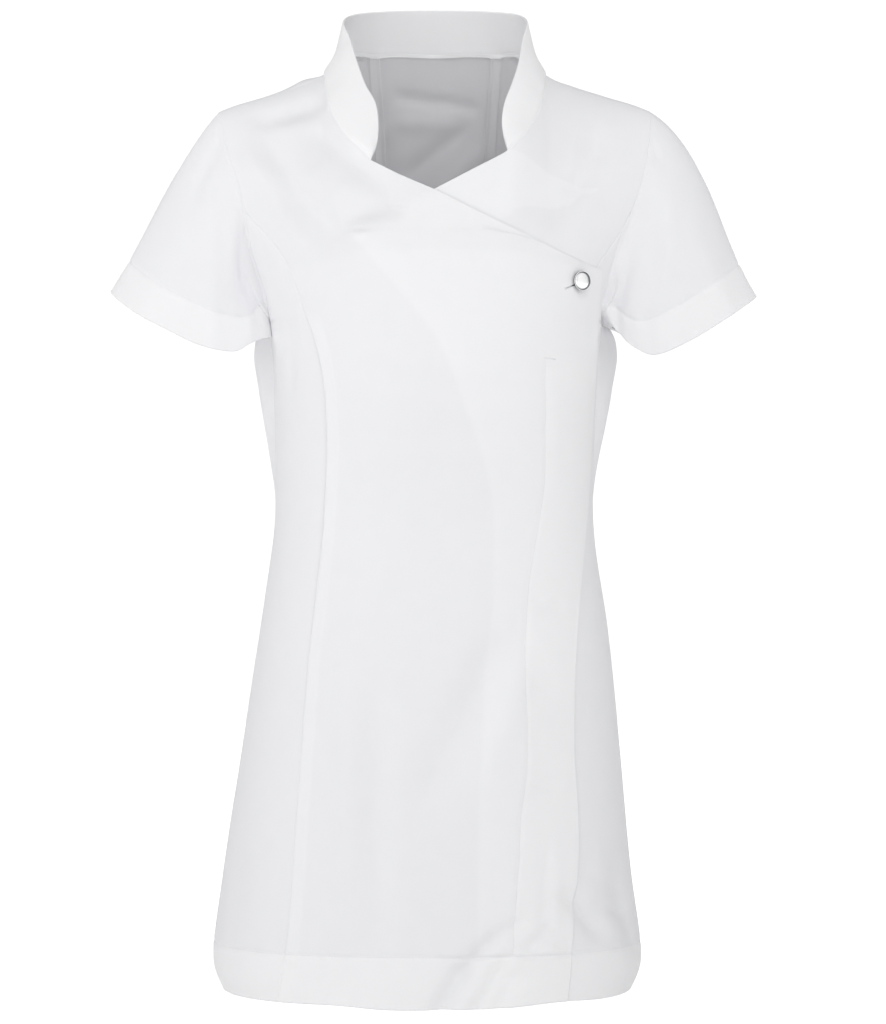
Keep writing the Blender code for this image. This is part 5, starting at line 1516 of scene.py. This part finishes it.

# %% [markdown]
# ## The buttonhole and the bar tack
#
# A machine buttonhole is a cut between two rows of dense stitches, closed by a bar at each end. The cloth
# is not cut here: a near-black sheet lies between the rows, painted shade for the dark gap of the opening.
# A bar tack of the same dense stitches holds the top of the facing.

# %% Buttonhole and bar tack
BUTTONHOLE = ((0.1160, -0.1994), (0.1330, -0.1916))
BAR_TACK = ((0.0965, -0.2615), (0.1065, -0.2625))
SATIN_PITCH, SATIN_WIDTH, SLIT_HALF = 0.00042, 0.0012, 0.0013


def on_wrap(x, z):
    """The point and normal of the wrap front at a place of the front view."""
    flat = wrap.points.reshape(-1, 3)
    order = np.argsort((flat[:, 0] - x) ** 2 + (flat[:, 2] - z) ** 2)[:3]
    weight = 1 / np.maximum(np.hypot(flat[order, 0] - x, flat[order, 2] - z), 1e-6)
    normal = unit((wrap.normals.reshape(-1, 3)[order] * weight[:, None]).sum(axis=0))
    near = flat[order[0]]
    depth = near[1] - ((x - near[0]) * normal[0] + (z - near[2]) * normal[2]) / normal[1]
    return np.array([x, depth, z]), normal


def slit_half(share):
    """Half the buttonhole's opening: closed at its outer end, pulled open beside the button."""
    return SLIT_HALF * smooth_step((share - 0.20) / 0.40)


def satin(start, end, beside=0, width=SATIN_WIDTH, pitch=SATIN_PITCH, radius=0.00024):
    """Dense stitches side by side along a short line on the wrap front, or beside the buttonhole's cut."""
    ends = [on_wrap(*place) for place in (start, end)]
    run = ends[1][0] - ends[0][0]
    count = max(int(np.linalg.norm(run) / pitch), 2)
    share = (np.arange(count) + 0.5)[:, None] / count
    normals = unit(ends[0][1] * (1 - share) + ends[1][1] * share)
    sideways = unit(np.cross(normals, unit(run)))
    off = beside * (slit_half(share) + width / 2)
    places = ends[0][0] + run * share + sideways * off + normals * radius / 3
    return stitch_arrays(places, sideways, normals, width, radius)


sets = []
for edge in (-1, 1):
    sets.append(satin(*BUTTONHOLE, beside=edge))
run = np.subtract(BUTTONHOLE[1], BUTTONHOLE[0])
run = run / np.hypot(*run) * 0.0014
sets.append(satin(np.subtract(BUTTONHOLE[0], run), BUTTONHOLE[0], width=0.0026))
sets.append(satin(*BAR_TACK, width=0.0014, radius=0.00018))
thread_object("buttonhole_stitches", sets, thread_white)

# Painted shade: a near-black sheet laid in the buttonhole's opening stands for the shadow inside the cut.
shadow_grey = bpy.data.materials.new("cut cloth in shade")
shadow_grey.use_nodes = True
shadow_grey.node_tree.nodes["Principled BSDF"].inputs["Base Color"].default_value = (0.05, 0.05, 0.055, 1.0)
shadow_grey.node_tree.nodes["Principled BSDF"].inputs["Roughness"].default_value = 0.9
(start, normal), (end, _) = (on_wrap(*place) for place in BUTTONHOLE)
sideways = unit(np.cross(normal, unit(end - start)))
share = np.linspace(0.02, 0.98, 15)[:, None]
half = slit_half(share) + 0.00008
middle = start + (end - start) * share + normal * 0.0003
grid = np.stack([middle - sideways * half, middle + sideways * half], axis=1)
painted_slit_shade = shell(grid, np.broadcast_to(normal, grid.shape), 0.0004, 0.0, grid[..., :2])
painted_slit_shade = cloth_object("buttonhole_cut", [painted_slit_shade], shadow_grey)
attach(painted_slit_shade, "root")

# %% [markdown]
# ## The button
#
# One domed button on a shank closes the wrap. It is turned from brass, polished and plated: a mirror-bright
# face inside a turned rim. The rim's metal is coloured dark grey, a painted reflection of the dark crescents
# that its curve would mirror.

# %% The button
BUTTON_X, BUTTON_HEIGHT, BUTTON_FACING = 0.1287, -0.1922, 0.35
BUTTON_SEGMENTS = 72
ButtonRing = namedtuple("ButtonRing", "radius height finish")
# finish 0 is the polished face; finish 1 is the rim, coloured dark grey as painted reflection
BUTTON_PROFILE = [
    ButtonRing(0.0000, 0.0006, 0),
    ButtonRing(0.0022, 0.0006, 0),
    ButtonRing(0.0022, 0.0029, 0),
    ButtonRing(0.0066, 0.0030, 0),
    ButtonRing(0.0083, 0.0033, 1),
    ButtonRing(0.0088, 0.0038, 1),
    ButtonRing(0.0090, 0.0044, 1),
    ButtonRing(0.0089, 0.0049, 1),
    ButtonRing(0.0086, 0.0052, 0),
    ButtonRing(0.0082, 0.0052, 0),
    ButtonRing(0.0078, 0.0049, 1),
    ButtonRing(0.0073, 0.0044, 1),
    ButtonRing(0.0071, 0.0045, 0),
    ButtonRing(0.0066, 0.0047, 0),
    ButtonRing(0.0055, 0.0049, 0),
    ButtonRing(0.0040, 0.0051, 0),
    ButtonRing(0.0020, 0.0052, 0),
    ButtonRing(0.0000, 0.00525, 0),
]


def metal_material(name, colour, roughness):
    made = bpy.data.materials.new(name)
    made.use_nodes = True
    nodes, links = made.node_tree.nodes, made.node_tree.links
    shader = nodes["Principled BSDF"]
    shader.inputs["Metallic"].default_value = 1.0
    shader.inputs["Base Color"].default_value = colour
    scratches = nodes.new("ShaderNodeTexNoise")
    scratches.inputs["Scale"].default_value = 900.0
    shine = nodes.new("ShaderNodeMapRange")
    shine.inputs["To Min"].default_value = roughness * 0.7
    shine.inputs["To Max"].default_value = roughness * 1.3
    links.new(nodes.new("ShaderNodeTexCoord").outputs["Object"], scratches.inputs["Vector"])
    links.new(scratches.outputs["Fac"], shine.inputs["Value"])
    links.new(shine.outputs["Result"], shader.inputs["Roughness"])
    return made


place, normal = on_wrap(BUTTON_X, BUTTON_HEIGHT)
axis = unit(normal + np.array([0.0, -BUTTON_FACING, 0.0]))
sideways = unit(np.cross(axis, [0.0, 0.0, 1.0]))
upwards = np.cross(sideways, axis)
turn = np.linspace(0, 2 * np.pi, BUTTON_SEGMENTS, endpoint=False)
points, faces, finishes = [], [], []
for ring in BUTTON_PROFILE:
    spoke = sideways * np.cos(turn)[:, None] + upwards * np.sin(turn)[:, None]
    points.append(place + axis * (ring.height - 0.0007) + spoke * ring.radius)
for j, ring in enumerate(BUTTON_PROFILE[1:]):
    for i in range(BUTTON_SEGMENTS):
        k = (i + 1) % BUTTON_SEGMENTS
        low, high = j * BUTTON_SEGMENTS, (j + 1) * BUTTON_SEGMENTS
        faces.append((low + i, high + i, high + k, low + k))
        finishes.append(ring.finish)
mesh = bpy.data.meshes.new("button")
mesh.from_pydata(np.concatenate(points).tolist(), [], faces)
mesh.materials.append(metal_material("polished metal", (0.93, 0.93, 0.94, 1.0), 0.24))
# the rim's dark grey is painted reflection, not a darker metal
mesh.materials.append(metal_material("dark turned rim", (0.16, 0.16, 0.17, 1.0), 0.30))
mesh.polygons.foreach_set("material_index", finishes)
mesh.polygons.foreach_set("use_smooth", np.ones(len(mesh.polygons), bool))
mesh.update()
mesh.set_sharp_from_angle(angle=np.radians(45))
button = bpy.data.objects.new("button_lathed", mesh)
bpy.context.scene.collection.objects.link(button)
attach(button, "root")
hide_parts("button")
print("button", round(2000 * max(ring.radius for ring in BUTTON_PROFILE), 1), "mm across")

# %% [markdown]
# ## Floor, light and finish
#
# The photograph has no floor and a white background, and its light is soft and comes mostly from the front.
# The floor here is a plain pale disc far below the hem. The room is bright in front, a little brighter
# above, and white straight behind the tunic, so that the cloth stands out by its shading alone. A narrow
# bright panel on the right is there for the button to mirror. Two lamps shape the folds: a wide one low on
# the left and a small one above the right shoulder that reaches into the neck.

# %% The floor
FLOOR_LEVEL = -1.35
GLOW_NEAR, GLOW_FAR = 0.20, 1.00
GLOW_FROM, GLOW_TO = 1.5, 5.5


def value_range(nodes, low, high, to_low, to_high):
    """A smooth change of one value into another."""
    made = nodes.new("ShaderNodeMapRange")
    made.interpolation_type = "SMOOTHSTEP"
    made.inputs["From Min"].default_value = low
    made.inputs["From Max"].default_value = high
    made.inputs["To Min"].default_value = to_low
    made.inputs["To Max"].default_value = to_high
    return made


stage_white = bpy.data.materials.new("stage white")
stage_white.use_nodes = True
nodes, links = stage_white.node_tree.nodes, stage_white.node_tree.links
shader = nodes["Principled BSDF"]
shader.inputs["Base Color"].default_value = (0.85, 0.85, 0.85, 1.0)
shader.inputs["Roughness"].default_value = 1.0
shader.inputs["Specular IOR Level"].default_value = 0.0
shader.inputs["Emission Color"].default_value = (1.0, 1.0, 1.0, 1.0)
far_off = nodes.new("ShaderNodeVectorMath")
far_off.operation = "LENGTH"
glow = value_range(nodes, GLOW_FROM, GLOW_TO, GLOW_NEAR, GLOW_FAR)
links.new(nodes.new("ShaderNodeTexCoord").outputs["Object"], far_off.inputs[0])
links.new(far_off.outputs["Value"], glow.inputs["Value"])
links.new(glow.outputs["Result"], shader.inputs["Emission Strength"])
bpy.ops.mesh.primitive_circle_add(vertices=96, radius=14.0, fill_type="NGON", location=(0, 0, FLOOR_LEVEL))
floor = bpy.context.object
floor.name = "floor"
floor.data.materials.append(stage_white)

# %% The room's light
ROOM_LIGHT, FRONT_LIGHT, TOP_LIGHT = 0.22, 0.46, 0.18
BACKDROP_LIGHT, BACKDROP_FROM, BACKDROP_TO = 1.10, 0.80, 0.95
SOFTBOX_LIGHT, SOFTBOX_FROM, SOFTBOX_TO = 0.42, -0.74, -0.86
PANEL_LIGHT, PANEL_FROM, PANEL_TO = 0.46, 0.91, 0.95
PANEL_DIRECTION = (0.917, -0.360, 0.170)


def added(nodes, links, operation, first, second):
    made = nodes.new("ShaderNodeMath")
    made.operation = operation
    links.new(first, made.inputs[0])
    links.new(second, made.inputs[1])
    return made.outputs[0]


world = bpy.data.worlds.new("studio")
bpy.context.scene.world = world
world.use_nodes = True
nodes, links = world.node_tree.nodes, world.node_tree.links
direction = nodes.new("ShaderNodeSeparateXYZ")
backdrop = value_range(nodes, BACKDROP_FROM, BACKDROP_TO, 0.0, BACKDROP_LIGHT)
front = value_range(nodes, 0.2, -0.9, ROOM_LIGHT, ROOM_LIGHT + FRONT_LIGHT)
above = value_range(nodes, 0.0, 1.0, 0.0, TOP_LIGHT)
softbox = value_range(nodes, SOFTBOX_FROM, SOFTBOX_TO, 0.0, SOFTBOX_LIGHT)
links.new(nodes.new("ShaderNodeTexCoord").outputs["Generated"], direction.inputs["Vector"])
links.new(direction.outputs["Y"], backdrop.inputs["Value"])
links.new(direction.outputs["Y"], front.inputs["Value"])
links.new(direction.outputs["Y"], softbox.inputs["Value"])
links.new(direction.outputs["Z"], above.inputs["Value"])
room = added(nodes, links, "ADD", front.outputs["Result"], above.outputs["Result"])
room = added(nodes, links, "ADD", room, softbox.outputs["Result"])
towards = nodes.new("ShaderNodeVectorMath")
towards.operation = "DOT_PRODUCT"
towards.inputs[1].default_value = PANEL_DIRECTION
panel = value_range(nodes, PANEL_FROM, PANEL_TO, 0.0, PANEL_LIGHT)
links.new(direction.inputs["Vector"].links[0].from_socket, towards.inputs[0])
links.new(towards.outputs["Value"], panel.inputs["Value"])
room = added(nodes, links, "ADD", room, panel.outputs["Result"])
strength = added(nodes, links, "MAXIMUM", room, backdrop.outputs["Result"])
links.new(strength, nodes["Background"].inputs["Strength"])
nodes["Background"].inputs["Color"].default_value = (1.0, 1.0, 1.0, 1.0)

# %% The lamps
Lamp = namedtuple("Lamp", "name x y z size power")
LAMPS = [
    Lamp("key", -3.4, -0.9, 0.6, 2.4, 25.0),
    Lamp("overhead", 0.5, -1.4, 1.3, 0.5, 4.5),
]
LAMP_TARGET = Vector((0.0, 0.0, -0.40))
for lamp in LAMPS:
    light = bpy.data.lights.new(lamp.name, "AREA")
    light.size = lamp.size
    light.energy = lamp.power
    placed = bpy.data.objects.new(lamp.name, light)
    placed.location = (lamp.x, lamp.y, lamp.z)
    placed.rotation_euler = (LAMP_TARGET - placed.location).to_track_quat("-Z", "Y").to_euler()
    bpy.context.scene.collection.objects.link(placed)
bpy.context.scene.view_settings.view_transform = "Standard"
bpy.context.scene.view_settings.look = "None"
